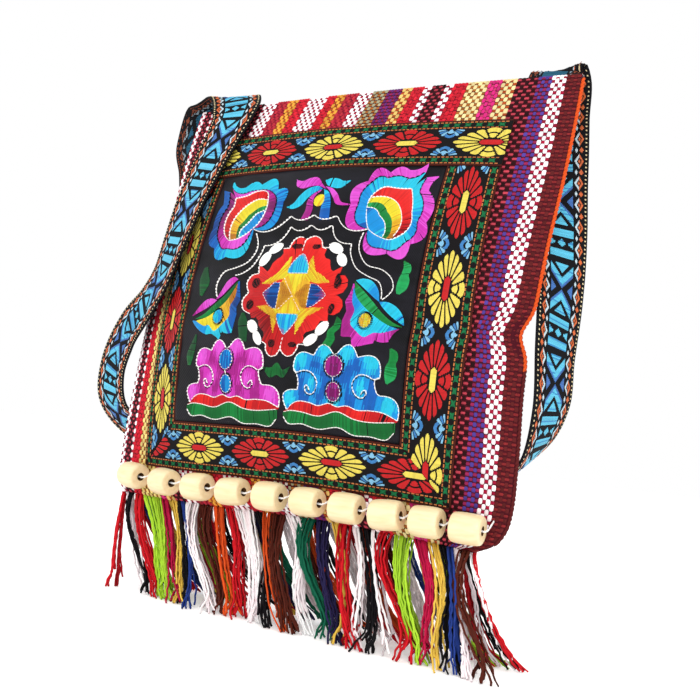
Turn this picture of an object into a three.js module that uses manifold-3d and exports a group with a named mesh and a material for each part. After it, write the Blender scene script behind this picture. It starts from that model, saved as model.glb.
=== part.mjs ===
// A woven crossbody bag: a striped cloth pouch with an embroidered panel in a frame of ribbons,
// a row of wooden beads and a fringe at its hem, and one woven band as its strap.
// Millimetres, +Z up, the front faces -Y, and the fringe stands on z = 0.

import * as THREE from "three";
import { mergeVertices } from "three/addons/utils/BufferGeometryUtils.js";
import Module from "manifold-3d";

const wasm = await Module();
wasm.setup();

// Driving dimensions
const HEM_HEIGHT = 60;
const POUCH = { height: 262, wall: 2, seamHalf: 1.5, seamInset: 4, innerSeamHalf: 0.4, innerFloor: 10 };
const LEAN = { hem: THREE.MathUtils.degToRad(-2), mouth: THREE.MathUtils.degToRad(15) };
const HEM_WAVE = { height: 2.2, crest: 30, length: 300 };
const MOUTH_SAG = 2;
const DENT = { rise: 114, height: 9, inset: 5.5, crease: 2.5, from: 110, to: 138 };
const FRAME = { half: 110, bottom: 20, top: 234, ribbon: 29 };
const CLOTH_GAP = 0.6;
const PANEL_THICK = 1;
const RIBBON_THICK = 1.4;
const PIECE_GAP = 0.4;
const STRAP = { width: 33, thick: 1.6 };
const BEAD = { count: 10, first: -113, last: 121.4, rise: 14, length: 16.8, radius: 8.2, endRadius: 6.2 };
const BORE_RADIUS = 2;
// The beads stand closer together toward the right end of the row.
const BEAD_CROWDING = 0.2;
const THREAD_RADIUS = 1.1;
const FRINGE = { locks: 15, first: -129, last: 121, headDrop: 6, headThick: 2.6, headOffset: 2.6 };
// From head to foot a lock leans to the right, less so toward the right end, and outward.
const LOCK_LEAN = { right: 36, fade: 0.06, stagger: 2, front: 10, back: 25, waver: 4 };

// Pouch sections from the hem to the mouth: half widths to each side and depths before and behind
// the middle plane.
const SECTIONS = [
  { rise: 0, left: 134, right: 121, front: 3.2, back: 3.2 },
  { rise: 5, left: 139, right: 131, front: 11, back: 9 },
  { rise: 18, left: 141, right: 138.5, front: 17.5, back: 15 },
  { rise: 48, left: 140, right: 139.5, front: 25.5, back: 23 },
  { rise: 84, left: 138.5, right: 137.5, front: 33, back: 30 },
  { rise: 112, left: 138, right: 137.5, front: 36, back: 32.5 },
  { rise: 160, left: 138, right: 139, front: 35, back: 31 },
  { rise: 200, left: 139, right: 141, front: 29, back: 26 },
  { rise: 235, left: 140, right: 141, front: 20.5, back: 19 },
  { rise: 262, left: 140, right: 140, front: 12, back: 12 },
];

// Route of the strap from its left end to its right end: the middle of the band, as a distance behind
// the middle plane and a rise above the hem, and the direction across the band.
const ROUTE = [
  { x: -121, behind: 9.7, rise: 172, across: [0.94, 0.34, 0] },
  { x: -126, behind: 8.4, rise: 198, across: [0.95, 0.3, 0.08] },
  { x: -139, behind: 9, rise: 226, across: [0.97, 0.15, 0.22] },
  { x: -151, behind: 11, rise: 246, across: [0.93, 0.2, 0.3] },
  { x: -148, behind: 12, rise: 260, across: [0.75, 0.6, 0.1] },
  { x: -128, behind: 5, rise: 268, across: [0.65, 0.75, 0] },
  { x: -106, behind: -9, rise: 268, across: [0.85, 0.45, 0.15] },
  { x: -93, behind: -18, rise: 252, across: [0.97, 0, -0.2] },
  { x: -97, behind: -21, rise: 222, across: [0.97, -0.12, -0.17] },
  { x: -103, behind: -22.5, rise: 192, across: [0.95, -0.22, -0.15] },
  { x: -107, behind: -23.5, rise: 163, across: [0.92, -0.32, -0.15] },
  { x: -114, behind: -21.5, rise: 138, across: [0.86, -0.4, -0.3] },
  { x: -130, behind: -15, rise: 119, across: [0.75, -0.38, -0.55] },
  { x: -149, behind: -8, rise: 102, across: [0.74, -0.25, -0.6] },
  { x: -162, behind: -2, rise: 78, across: [0.92, -0.2, -0.32] },
  { x: -166, behind: 8, rise: 54, across: [0.98, -0.15, -0.05] },
  { x: -157, behind: 27, rise: 38, across: [0.8, -0.42, 0.42] },
  { x: -127, behind: 41, rise: 26, across: [0.4, -0.85, 0.35] },
  { x: -70, behind: 45, rise: 18, across: [0.1, -0.97, 0.15] },
  { x: 0, behind: 46, rise: 16, across: [0, -1, 0] },
  { x: 70, behind: 42, rise: 22, across: [0, -0.97, -0.2] },
  { x: 116, behind: 33, rise: 37, across: [0, -0.88, -0.45] },
  { x: 138, behind: 24, rise: 54, across: [-0.08, -0.9, -0.4] },
  { x: 147, behind: 18, rise: 78, across: [-0.18, -0.95, -0.2] },
  { x: 146, behind: 16, rise: 107, across: [-0.25, -0.97, 0] },
  { x: 141, behind: 21, rise: 145, across: [-0.4, -0.92, 0] },
  { x: 135, behind: 22.5, rise: 175, across: [-0.6, -0.8, 0] },
  { x: 128, behind: 22.5, rise: 206, across: [-0.8, -0.6, 0] },
  { x: 122, behind: 21, rise: 242, across: [-0.97, -0.2, 0] },
  { x: 120, behind: 18, rise: 265, across: [-1, -0.1, 0] },
  { x: 118, behind: 12.5, rise: 272, across: [-1, -0.1, 0] },
  { x: 117, behind: 8.5, rise: 262, across: [-0.98, 0.15, 0] },
  { x: 115, behind: 8.6, rise: 238, across: [-0.97, 0.22, 0] },
  { x: 114, behind: 10.6, rise: 212, across: [-0.97, 0.25, 0] },
];

const COLOURS = {
  cloth: 0x9c2638,
  panel: 0x141216,
  ribbon: 0x2c1c1a,
  strap: 0x1d2a38,
  bead: 0xe9d2ab,
  thread: 0xf2eee4,
  fringe: 0xb8404c,
};

// Value of one column of a table at a place along it, on a smooth curve through the rows.
function alongTable(rows, key, column, at) {
  const last = rows.length - 1;
  let i = 0;
  while (i < last - 1 && at > rows[i + 1][key]) {
    i += 1;
  }
  const slope = (a, b) => (rows[b][column] - rows[a][column]) / (rows[b][key] - rows[a][key]);
  const tangent = (k) => slope(Math.max(k - 1, 0), Math.min(k + 1, last));
  const span = rows[i + 1][key] - rows[i][key];
  const f = THREE.MathUtils.clamp((at - rows[i][key]) / span, 0, 1);
  const start = rows[i][column] * (1 + 2 * f) * (1 - f) ** 2 + tangent(i) * span * f * (1 - f) ** 2;
  const end = rows[i + 1][column] * f * f * (3 - 2 * f) + tangent(i + 1) * span * f * f * (f - 1);
  return start + end;
}

const bell = (offset, width) => Math.exp(-((offset / width) ** 2));

// The middle plane bends back from the hem to the mouth.
function middlePlane(rise) {
  const bend = (Math.tan(LEAN.mouth) - Math.tan(LEAN.hem)) / (2 * POUCH.height);
  return Math.tan(LEAN.hem) * rise + bend * rise * rise;
}

// How far the cloth lies above or below its level line, at the wavy hem and the sagging mouth.
function levelShift(x, rise) {
  const f = THREE.MathUtils.clamp(rise / POUCH.height, 0, 1);
  const wave = HEM_WAVE.height * Math.cos((2 * Math.PI * (x - HEM_WAVE.crest)) / HEM_WAVE.length);
  const sag = MOUTH_SAG * (1 - (x / SECTIONS.at(-1).right) ** 2);
  return wave * (1 - f) ** 2 - sag * f ** 2;
}

function halfWidth(side, rise) {
  const width = alongTable(SECTIONS, "rise", side, rise);
  return side === "right" ? width - DENT.inset * bell(rise - DENT.rise, DENT.height) : width;
}

// Depth of the cloth before or behind the middle plane. The cloth is a lens between the side seams.
function depthAt(face, x, rise, inner) {
  const half = halfWidth(x < 0 ? "left" : "right", rise) - (inner ? POUCH.seamInset : 0);
  const seam = inner ? POUCH.innerSeamHalf : POUCH.seamHalf;
  const full = alongTable(SECTIONS, "rise", face, rise) - (inner ? POUCH.wall : 0);
  const nearSeam = THREE.MathUtils.smoothstep(x, DENT.from, DENT.to);
  const crease = DENT.crease * nearSeam * bell(rise - DENT.rise, DENT.height);
  const lens = seam + (full - seam) * (1 - (x / half) ** 2);
  return Math.max(lens - crease, seam);
}

function pouchPoint(face, x, rise, inner = false) {
  const depth = depthAt(face, x, rise, inner);
  const y = middlePlane(rise) + (face === "front" ? -depth : depth);
  return new THREE.Vector3(x, y, HEM_HEIGHT + rise + levelShift(x, rise));
}

// A point lifted off the outer front cloth along its normal.
function liftedPoint(x, rise, lift) {
  const step = 1;
  const alongX = pouchPoint("front", x + step, rise).sub(pouchPoint("front", x - step, rise));
  const alongRise = pouchPoint("front", x, rise + step).sub(pouchPoint("front", x, rise - step));
  const normal = alongX.cross(alongRise).normalize();
  return pouchPoint("front", x, rise).addScaledVector(normal, lift);
}

function geometryFrom(points, triangles) {
  const geometry = new THREE.BufferGeometry();
  const flat = points.flatMap((p) => [p.x, p.y, p.z]);
  geometry.setAttribute("position", new THREE.Float32BufferAttribute(flat, 3));
  geometry.setIndex(triangles.flat());
  return geometry;
}

// A closed tube through rings with equal numbers of points, where each ring runs from left to right
// along one side and back along the other, so that its ends close as strips.
function tubeThroughRings(rings) {
  const count = rings[0].length;
  const half = count / 2;
  const triangles = [];
  for (let j = 0; j < rings.length - 1; j += 1) {
    for (let k = 0; k < count; k += 1) {
      const a = j * count + k;
      const b = j * count + ((k + 1) % count);
      triangles.push([a, b, b + count], [a, b + count, a + count]);
    }
  }
  const end = (rings.length - 1) * count;
  for (let k = 0; k < half - 1; k += 1) {
    const opposite = count - 1 - k;
    triangles.push([k, opposite, opposite - 1], [k, opposite - 1, k + 1]);
    triangles.push([end + k, end + k + 1, end + opposite - 1], [end + k, end + opposite - 1, end + opposite]);
  }
  return geometryFrom(rings.flat(), triangles);
}

// A closed slab whose faces are two grids of points: face 0 lies under and face 1 lies outside.
function slab(columns, rows, pointOn) {
  const rings = [];
  for (let j = 0; j <= rows; j += 1) {
    const under = [];
    const outside = [];
    for (let i = 0; i <= columns; i += 1) {
      outside.push(pointOn(i / columns, j / rows, 1));
      under.unshift(pointOn(i / columns, j / rows, 0));
    }
    rings.push([...outside, ...under]);
  }
  return tubeThroughRings(rings);
}

function piece(name, geometry, colour, roughness) {
  const material = new THREE.MeshStandardMaterial({ color: colour, roughness, metalness: 0 });
  const mesh = new THREE.Mesh(geometry, material);
  mesh.name = name;
  return mesh;
}

// Pouch: an outer wall from hem to mouth, then the inner wall down to the inner floor.
function pouchRing(rise, inner) {
  const columns = 17;
  const inset = inner ? POUCH.seamInset : 0;
  const left = halfWidth("left", rise) - inset;
  const right = halfWidth("right", rise) - inset;
  const front = [];
  const back = [];
  for (let i = 0; i <= columns; i += 1) {
    const across = Math.sin((Math.PI / 2) * ((2 * i) / columns - 1));
    const x = across < 0 ? across * left : across * right;
    front.push(pouchPoint("front", x, rise, inner));
    back.unshift(pouchPoint("back", x, rise, inner));
  }
  return [...front, ...back];
}

function makePouch() {
  const hemRises = [0, 2, 5, 10];
  const rows = 22;
  const rises = [...hemRises];
  const start = hemRises.at(-1);
  for (let j = 1; j <= rows; j += 1) {
    rises.push(start + ((POUCH.height - start) * j) / rows);
  }
  const outer = rises.map((rise) => pouchRing(rise, false));
  const innerRises = rises.filter((rise) => rise >= POUCH.innerFloor).reverse();
  const inner = innerRises.map((rise) => pouchRing(rise, true));
  return piece("pouch", tubeThroughRings([...outer, ...inner]), COLOURS.cloth, 0.9);
}

// Flat pieces sewn on the front: a patch is given by its outline as a place on the cloth.
function makePatch(name, columns, rows, place, thick, colour) {
  const geometry = slab(columns, rows, (u, v, face) => {
    const { x, rise } = place(u, v);
    return liftedPoint(x, rise, CLOTH_GAP + face * thick);
  });
  return piece(name, geometry, colour, 0.75);
}

function makePanel() {
  const half = FRAME.half - FRAME.ribbon - PIECE_GAP;
  const bottom = FRAME.bottom + FRAME.ribbon + PIECE_GAP;
  const top = FRAME.top - FRAME.ribbon - PIECE_GAP;
  const place = (u, v) => ({ x: half * (2 * u - 1), rise: THREE.MathUtils.lerp(bottom, top, v) });
  return makePatch("embroidery_panel", 11, 11, place, PANEL_THICK, COLOURS.panel);
}

// The top ribbon runs over the full width. The side ribbons meet it below and are mitred at the hem
// end with the bottom ribbon.
function makeRibbons() {
  const inside = FRAME.half - FRAME.ribbon;
  const mitre = PIECE_GAP / 2;
  const sideTop = FRAME.top - FRAME.ribbon - PIECE_GAP;
  const topPlace = (u, v) => ({ x: FRAME.half * (2 * u - 1), rise: FRAME.top - FRAME.ribbon * (1 - v) });
  const sidePlace = (side) => (u, v) => {
    const outward = side > 0 ? u : 1 - u;
    const low = FRAME.bottom + FRAME.ribbon * (1 - outward) + mitre;
    return { x: side * (inside + FRAME.ribbon * outward), rise: THREE.MathUtils.lerp(low, sideTop, v) };
  };
  const bottomPlace = (u, v) => {
    const half = FRAME.half - FRAME.ribbon * v - mitre;
    return { x: half * (2 * u - 1), rise: FRAME.bottom + FRAME.ribbon * v };
  };
  const ribbon = (name, columns, rows, place) =>
    makePatch(name, columns, rows, place, RIBBON_THICK, COLOURS.ribbon);
  return [
    ribbon("ribbon_top", 18, 3, topPlace),
    ribbon("ribbon_right", 3, 16, sidePlace(1)),
    ribbon("ribbon_bottom", 18, 3, bottomPlace),
    ribbon("ribbon_left", 3, 16, sidePlace(-1)),
  ];
}

// Strap: a flat band swept along its route.
function makeStrap() {
  const steps = 3 * (ROUTE.length - 1);
  const middles = ROUTE.map(({ x, behind, rise }) => (
    new THREE.Vector3(x, middlePlane(rise) + behind, HEM_HEIGHT + rise)
  ));
  const middle = new THREE.CatmullRomCurve3(middles);
  const across = new THREE.CatmullRomCurve3(ROUTE.map((r) => new THREE.Vector3(...r.across)));
  const geometry = slab(1, steps, (u, v, face) => {
    const tangent = middle.getTangent(v);
    const side = across.getPoint(v);
    side.addScaledVector(tangent, -side.dot(tangent)).normalize();
    const normal = new THREE.Vector3().crossVectors(side, tangent);
    const point = middle.getPoint(v).addScaledVector(side, STRAP.width * (u - 0.5));
    return point.addScaledVector(normal, STRAP.thick * (face - 0.5));
  });
  return piece("strap", geometry, COLOURS.strap, 0.7);
}

// Beads: turned barrels whose axes follow the hem.
function beadPlaces() {
  const places = [];
  for (let i = 0; i < BEAD.count; i += 1) {
    const t = i / (BEAD.count - 1);
    const x = THREE.MathUtils.lerp(BEAD.first, BEAD.last, t * (1 + BEAD_CROWDING * (1 - t)));
    const lift = BEAD.radius + PIECE_GAP;
    const centre = liftedPoint(x, BEAD.rise, lift);
    const axis = liftedPoint(x + 4, BEAD.rise, lift).sub(liftedPoint(x - 4, BEAD.rise, lift)).normalize();
    places.push({ centre, axis });
  }
  return places;
}

function makeBeads(places) {
  const half = BEAD.length / 2;
  const shoulder = 0.94;
  const profile = [
    [BORE_RADIUS, -half],
    [BEAD.endRadius, -half],
    [BEAD.radius * shoulder, -half * 0.72],
    [BEAD.radius, -half * 0.28],
    [BEAD.radius, half * 0.28],
    [BEAD.radius * shoulder, half * 0.72],
    [BEAD.endRadius, half],
    [BORE_RADIUS, half],
    [BORE_RADIUS, -half],
  ];
  const sides = 12;
  return places.map(({ centre, axis }, i) => {
    const turned = new THREE.LatheGeometry(profile.map(([r, h]) => new THREE.Vector2(r, h)), sides);
    const bead = piece(`bead_${String(i + 1).padStart(2, "0")}`, turned, COLOURS.bead, 0.5);
    bead.position.copy(centre);
    bead.quaternion.setFromUnitVectors(new THREE.Vector3(0, 1, 0), axis);
    return bead;
  });
}

// The thread runs through every bore, dips towards the cloth between beads and ends at the hem.
function makeThread(places) {
  const endLift = THREAD_RADIUS + PIECE_GAP;
  const straight = BEAD.length * 0.4;
  const clear = BEAD.length * 0.5 + 1;
  const dip = 0.6;
  const points = [liftedPoint(BEAD.first - 19, BEAD.rise, endLift)];
  places.forEach(({ centre, axis }, i) => {
    for (const along of [-clear, -straight, straight, clear]) {
      points.push(centre.clone().addScaledVector(axis, along));
    }
    if (i < places.length - 1) {
      const between = centre.clone().lerp(places[i + 1].centre, 0.5);
      points.push(between.add(new THREE.Vector3(0, dip, 0)));
    }
  });
  points.push(liftedPoint(BEAD.last + 11, BEAD.rise + 4, endLift));
  const corners = [0, 1, 2, 3, 4, 5].map((k) => (k * Math.PI) / 3);
  const section = new THREE.Shape(
    corners.map((a) => new THREE.Vector2(THREAD_RADIUS * Math.cos(a), THREAD_RADIUS * Math.sin(a))),
  );
  const path = new THREE.CatmullRomCurve3(points, false, "centripetal");
  const options = { extrudePath: path, steps: 84, bevelEnabled: false };
  return piece("bead_thread", new THREE.ExtrudeGeometry(section, options), COLOURS.thread, 0.8);
}

// Fringe: locks of warp ends that leave a head strip below the hem and spread to the floor.
function solidFrom(geometry) {
  const bare = geometry.clone();
  bare.deleteAttribute("normal");
  bare.deleteAttribute("uv");
  const merged = mergeVertices(bare, 1e-4);
  const vertProperties = new Float32Array(merged.attributes.position.array);
  const triVerts = new Uint32Array(merged.index.array);
  return new wasm.Manifold(new wasm.Mesh({ numProp: 3, vertProperties, triVerts }));
}

function geometryOf(solid) {
  const mesh = solid.getMesh();
  const geometry = new THREE.BufferGeometry();
  geometry.setAttribute("position", new THREE.BufferAttribute(new Float32Array(mesh.vertProperties), 3));
  geometry.setIndex([...mesh.triVerts]);
  return geometry;
}

// Outer ring of a lock at one level, in the order of a tube's rings.
function lockRing(x, y, z, halfX, halfY) {
  const arc = 3;
  const ring = [];
  for (let k = 0; k < 2 * arc; k += 1) {
    const turn = Math.PI + (Math.PI * (k + 0.5)) / arc;
    ring.push(new THREE.Vector3(x + halfX * Math.cos(turn), y + halfY * Math.sin(turn), z));
  }
  return ring;
}

function makeLock(x, side, index) {
  const levels = 4;
  const topZ = HEM_HEIGHT + levelShift(x, 0) - 2;
  const fade = (x - FRINGE.first) * LOCK_LEAN.fade;
  const leanX = LOCK_LEAN.right - fade + LOCK_LEAN.stagger * Math.sin(index * 2.4);
  const outward = side < 0 ? -LOCK_LEAN.front : LOCK_LEAN.back;
  const leanY = outward + LOCK_LEAN.waver * Math.sin(index * 1.7);
  const rings = [];
  for (let j = 0; j <= levels; j += 1) {
    const f = 1 - j / levels;
    const halfX = 5.6 + 1.3 * Math.sin(Math.PI * 0.8 * f);
    const halfY = 2 + 2.6 * f;
    const y = side * FRINGE.headOffset + leanY * f ** 1.5;
    rings.push(lockRing(x + leanX * f ** 1.4, y, topZ * (1 - f), halfX, halfY));
  }
  return tubeThroughRings(rings);
}

function makeFringe(name, side) {
  const near = side * FRINGE.headOffset - FRINGE.headThick / 2;
  const headEnd = 6;
  const head = slab(24, 1, (u, v, face) => {
    const x = THREE.MathUtils.lerp(FRINGE.first - headEnd, FRINGE.last + headEnd, u);
    const z = HEM_HEIGHT + levelShift(x, 0) - PIECE_GAP - FRINGE.headDrop * (1 - v);
    return new THREE.Vector3(x, near + FRINGE.headThick * (1 - face), z);
  });
  let fringe = solidFrom(head);
  for (let i = 0; i < FRINGE.locks; i += 1) {
    const x = THREE.MathUtils.lerp(FRINGE.first, FRINGE.last, i / (FRINGE.locks - 1));
    fringe = fringe.add(solidFrom(makeLock(x, side, i + (side < 0 ? 0 : FRINGE.locks))));
  }
  return piece(name, geometryOf(fringe), COLOURS.fringe, 0.95);
}

const beads = beadPlaces();
const bag = new THREE.Group();
bag.add(
  makePouch(),
  makePanel(),
  ...makeRibbons(),
  makeStrap(),
  ...makeBeads(beads),
  makeThread(beads),
  makeFringe("fringe_front", -1),
  makeFringe("fringe_back", 1),
);

// The origin is on the floor at the middle of the whole bag.
const box = new THREE.Box3().setFromObject(bag);
const middleOfBox = box.getCenter(new THREE.Vector3());
bag.position.set(-middleOfBox.x, -middleOfBox.y, -box.min.z);

export default bag;
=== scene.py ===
# Looks of a woven crossbody bag: its weave, ribbons, embroidery, strap pattern, beads and fringe.
# Sizes are millimetres in the bag's own frame: the hem lies HEM_HEIGHT above the floor, the front
# faces -Y, and a place on the cloth is x and a rise above the hem.
import math
from functools import partial

import bmesh
import bpy
import numpy as np
from mathutils import Matrix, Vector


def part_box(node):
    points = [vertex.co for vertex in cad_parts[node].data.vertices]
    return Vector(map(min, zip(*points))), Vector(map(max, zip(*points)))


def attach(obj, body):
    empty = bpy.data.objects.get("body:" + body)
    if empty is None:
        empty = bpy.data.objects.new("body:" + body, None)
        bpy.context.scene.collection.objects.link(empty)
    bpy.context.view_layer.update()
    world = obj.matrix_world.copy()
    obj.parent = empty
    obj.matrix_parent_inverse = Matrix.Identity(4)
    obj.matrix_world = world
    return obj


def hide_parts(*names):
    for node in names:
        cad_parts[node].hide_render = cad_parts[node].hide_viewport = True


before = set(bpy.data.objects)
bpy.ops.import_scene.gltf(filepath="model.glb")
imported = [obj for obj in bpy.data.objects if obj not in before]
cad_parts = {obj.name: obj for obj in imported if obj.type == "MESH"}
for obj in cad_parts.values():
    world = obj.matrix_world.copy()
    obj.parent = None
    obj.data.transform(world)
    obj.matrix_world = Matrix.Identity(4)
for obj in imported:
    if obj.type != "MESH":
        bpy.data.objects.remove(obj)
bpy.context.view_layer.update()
chance = np.random.default_rng(7)

# Sizes of the solids, as in the part's source
HEM_HEIGHT = 60
POUCH_HEIGHT = 262
WALL = 2
SEAM_HALF = 1.5
SEAM_INSET = 4
INNER_SEAM_HALF = 0.4
INNER_FLOOR = 10
LEAN_HEM = math.radians(-2)
LEAN_MOUTH = math.radians(15)
HEM_WAVE = {"height": 2.2, "crest": 30, "length": 300}
MOUTH_SAG = 2
DENT = {"rise": 114, "height": 9, "inset": 5.5, "crease": 2.5, "from": 110, "to": 138}
FRAME = {"half": 110, "bottom": 20, "top": 234, "ribbon": 29}
CLOTH_GAP = 0.6
PANEL_THICK = 1
RIBBON_THICK = 1.4
PIECE_GAP = 0.4
STRAP = {"width": 33, "thick": 1.6}
BEAD = {"count": 10, "first": -113, "last": 121.4, "rise": 14, "length": 16.8, "radius": 8.2, "bore": 2}
BEAD_CROWDING = 0.2
FRINGE = {"locks": 15, "first": -129, "last": 121, "offset": 2.6}
LOCK_LEAN = {"right": 36, "fade": 0.06, "stagger": 2, "front": 10, "back": 25, "waver": 4}

COLUMNS = ("rise", "left", "right", "front", "back")
SECTIONS = np.array([
    (0, 134, 121, 3.2, 3.2),
    (5, 139, 131, 11, 9),
    (18, 141, 138.5, 17.5, 15),
    (48, 140, 139.5, 25.5, 23),
    (84, 138.5, 137.5, 33, 30),
    (112, 138, 137.5, 36, 32.5),
    (160, 138, 139, 35, 31),
    (200, 139, 141, 29, 26),
    (235, 140, 141, 20.5, 19),
    (262, 140, 140, 12, 12),
], dtype=float)

# The strap's route: x, distance behind the middle plane, rise, and the direction across the band
ROUTE = np.array([
    (-121, 9.7, 172, 0.94, 0.34, 0),
    (-126, 8.4, 198, 0.95, 0.3, 0.08),
    (-139, 9, 226, 0.97, 0.15, 0.22),
    (-151, 11, 246, 0.93, 0.2, 0.3),
    (-148, 12, 260, 0.75, 0.6, 0.1),
    (-128, 5, 268, 0.65, 0.75, 0),
    (-106, -9, 268, 0.85, 0.45, 0.15),
    (-93, -18, 252, 0.97, 0, -0.2),
    (-97, -21, 222, 0.97, -0.12, -0.17),
    (-103, -22.5, 192, 0.95, -0.22, -0.15),
    (-107, -23.5, 163, 0.92, -0.32, -0.15),
    (-114, -21.5, 138, 0.86, -0.4, -0.3),
    (-130, -15, 119, 0.75, -0.38, -0.55),
    (-149, -8, 102, 0.74, -0.25, -0.6),
    (-162, -2, 78, 0.92, -0.2, -0.32),
    (-166, 8, 54, 0.98, -0.15, -0.05),
    (-157, 27, 38, 0.8, -0.42, 0.42),
    (-127, 41, 26, 0.4, -0.85, 0.35),
    (-70, 45, 18, 0.1, -0.97, 0.15),
    (0, 46, 16, 0, -1, 0),
    (70, 42, 22, 0, -0.97, -0.2),
    (116, 33, 37, 0, -0.88, -0.45),
    (138, 24, 54, -0.08, -0.9, -0.4),
    (147, 18, 78, -0.18, -0.95, -0.2),
    (146, 16, 107, -0.25, -0.97, 0),
    (141, 21, 145, -0.4, -0.92, 0),
    (135, 22.5, 175, -0.6, -0.8, 0),
    (128, 22.5, 206, -0.8, -0.6, 0),
    (122, 21, 242, -0.97, -0.2, 0),
    (120, 18, 265, -1, -0.1, 0),
    (118, 12.5, 272, -1, -0.1, 0),
    (117, 8.5, 262, -0.98, 0.15, 0),
    (115, 8.6, 238, -0.97, 0.22, 0),
    (114, 10.6, 212, -0.97, 0.25, 0),
], dtype=float)

# Colours of the yarns, threads and grounds, and of painted shade in the gaps between floats and in the bead
# bores
PALETTE = {
    "red": "dd2436", "dull_red": "c5323f", "white": "fdf0f3", "maroon": "2c090e", "cream": "fbe7a6",
    "gold": "f6cf78", "pink": "e62f86", "purple": "6c2b78", "violet": "55429c", "brown": "642021",
    "straw": "ffe58e", "amber": "fbb244", "sage": "b3ae8c", "weft": "a8183a", "weft_ochre": "b0672a",
    "weft_rust": "bf5222",
    "weft_rose": "c4426a", "weft_coral": "c94555", "weft_plum": "9c2655", "weft_brown": "8e2a2c",
    "weft_scarlet": "cf2034", "black": "141216", "lime": "b7e83c", "teal": "12694d", "blue": "27408f",
    "night": "2a2450", "crimson": "c8174a", "rust": "5b2418", "yarn_gold": "ffd458", "yarn_orange": "ee5a22",
    "yarn_red": "d51a26", "satin": "17171b", "ribbon": "141113", "ribbon_edge": "4f1d14", "dash": "cf7c46",
    "leaf": "1c7445", "petal_red": "cc1217", "petal_yellow": "f0dc5c", "petal_blue": "3c83c4",
    "petal_pale": "86c5e8", "sky_1": "27d3f2", "sky_2": "149fea", "sky_3": "0d67c2", "sky_4": "0f4592",
    "rose_1": "ee5be0", "rose_2": "dd38c2", "rose_3": "b11b90", "rose_4": "870f6b", "fire_1": "f32420",
    "fire_2": "d4151b", "fire_3": "98080f", "sun_1": "fae733", "sun_2": "f5bf27", "sun_3": "c8801a",
    "grass_1": "1fb160", "grass_2": "088f3f", "grass_3": "046f2e", "grass_4": "045427", "silk": "fbf8f4",
    "strap": "111015", "strap_sky": "62cdef", "strap_blue": "3a95cf", "strap_violet": "4578c2",
    "strap_pale": "d3eaf3", "strap_orange": "e5713c", "strap_dot": "f7e3b0", "dim_blue": "2a647f",
    "dim_rust": "8c4a33", "dim_pale": "8d9fa9", "bore": "5a3c1f", "shadow": "500e1c",
}
SHINY = ("sky", "rose", "fire", "sun", "grass", "silk", "petal", "strap_")
PALE = ("white", "silk")
DYE = {"pale": 0.93, "dyed": 0.72}

# Warp stripes of the cloth from left to right: right edge, warp, weft and fringe colours
FLAT_HALF = 140
STRIPES = [
    (-138, "white", "weft", "yarn_red"), (-136, "white", "weft", "white"),
    (-129, "maroon", "weft_coral", "black"), (-127, "white", "weft", "white"),
    (-119, "red", "weft_scarlet", "yarn_red"), (-100, "straw", "weft_ochre", "lime"),
    (-94, "pink", "weft_rose", "crimson"), (-87, "gold", "weft_rust", "yarn_gold"),
    (-83, "maroon", "weft_coral", "black"), (-78, "maroon", "weft_coral", "blue"),
    (-66, "white", "weft", "white"),
    (-56, "dull_red", "weft", "rust"), (-48, "amber", "weft_rust", "yarn_orange"),
    (-39, "red", "weft_scarlet", "yarn_red"), (-24, "white", "weft", "white"),
    (-17, "red", "weft_scarlet", "black"), (-10, "amber", "weft_rust", "yarn_orange"),
    (0, "dull_red", "weft", "rust"), (10, "white", "weft", "white"), (21, "sage", "weft_ochre", "teal"),
    (31, "purple", "weft_plum", "night"), (38, "gold", "weft_rust", "yarn_gold"),
    (46, "red", "weft_scarlet", "yarn_red"), (51, "white", "weft", "white"),
    (60, "maroon", "weft_coral", "black"), (65, "white", "weft", "white"),
    (74, "red", "weft_scarlet", "yarn_red"), (87, "cream", "weft_ochre", "lime"),
    (95, "pink", "weft_rose", "crimson"), (104, "cream", "weft_rust", "yarn_gold"),
    (116, "maroon", "weft_coral", "black"), (124, "violet", "weft_plum", "blue"),
    (132, "white", "weft", "white"), (140, "brown", "weft_brown", "rust"),
]
# Yarns that cover the weft, and dark ones that it covers
FULL_YARNS = ("white", "cream", "straw", "gold", "amber", "pink", "red", "dull_red")
DARK_YARNS = ("maroon", "brown")


def back_stripes():
    """The back starts with the stripes next to the front's left edge and then runs as its mirror."""
    turned = [(-left[0], *right[1:]) for left, right in zip(STRIPES[-2::-1], STRIPES[:0:-1])]
    inner = [stripe for stripe in turned if stripe[0] > -124]
    first = [(-134, "white", "weft", "white"), (-124, "red", "weft_scarlet", "yarn_red")]
    return [*first, *inner, (FLAT_HALF, *STRIPES[0][1:])]


CLOTH = {"front": STRIPES, "back": back_stripes()}
WARP_PITCH = 2.2
WEFT_PITCH = 2.55
WEAVE_JITTER = {"across": 0.07, "rise": 0.1}
FLOAT_SWELL = (0.92, 1.08)
FLOAT_BASE = 0.06


def smoothstep(value, low, high):
    f = np.clip((value - low) / (high - low), 0, 1)
    return f * f * (3 - 2 * f)


def bell(offset, width):
    return np.exp(-((offset / width) ** 2))


def unit(vectors):
    """Vectors of length 1 in the same directions."""
    return vectors / np.maximum(np.linalg.norm(vectors, axis=-1, keepdims=True), 1e-9)


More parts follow.
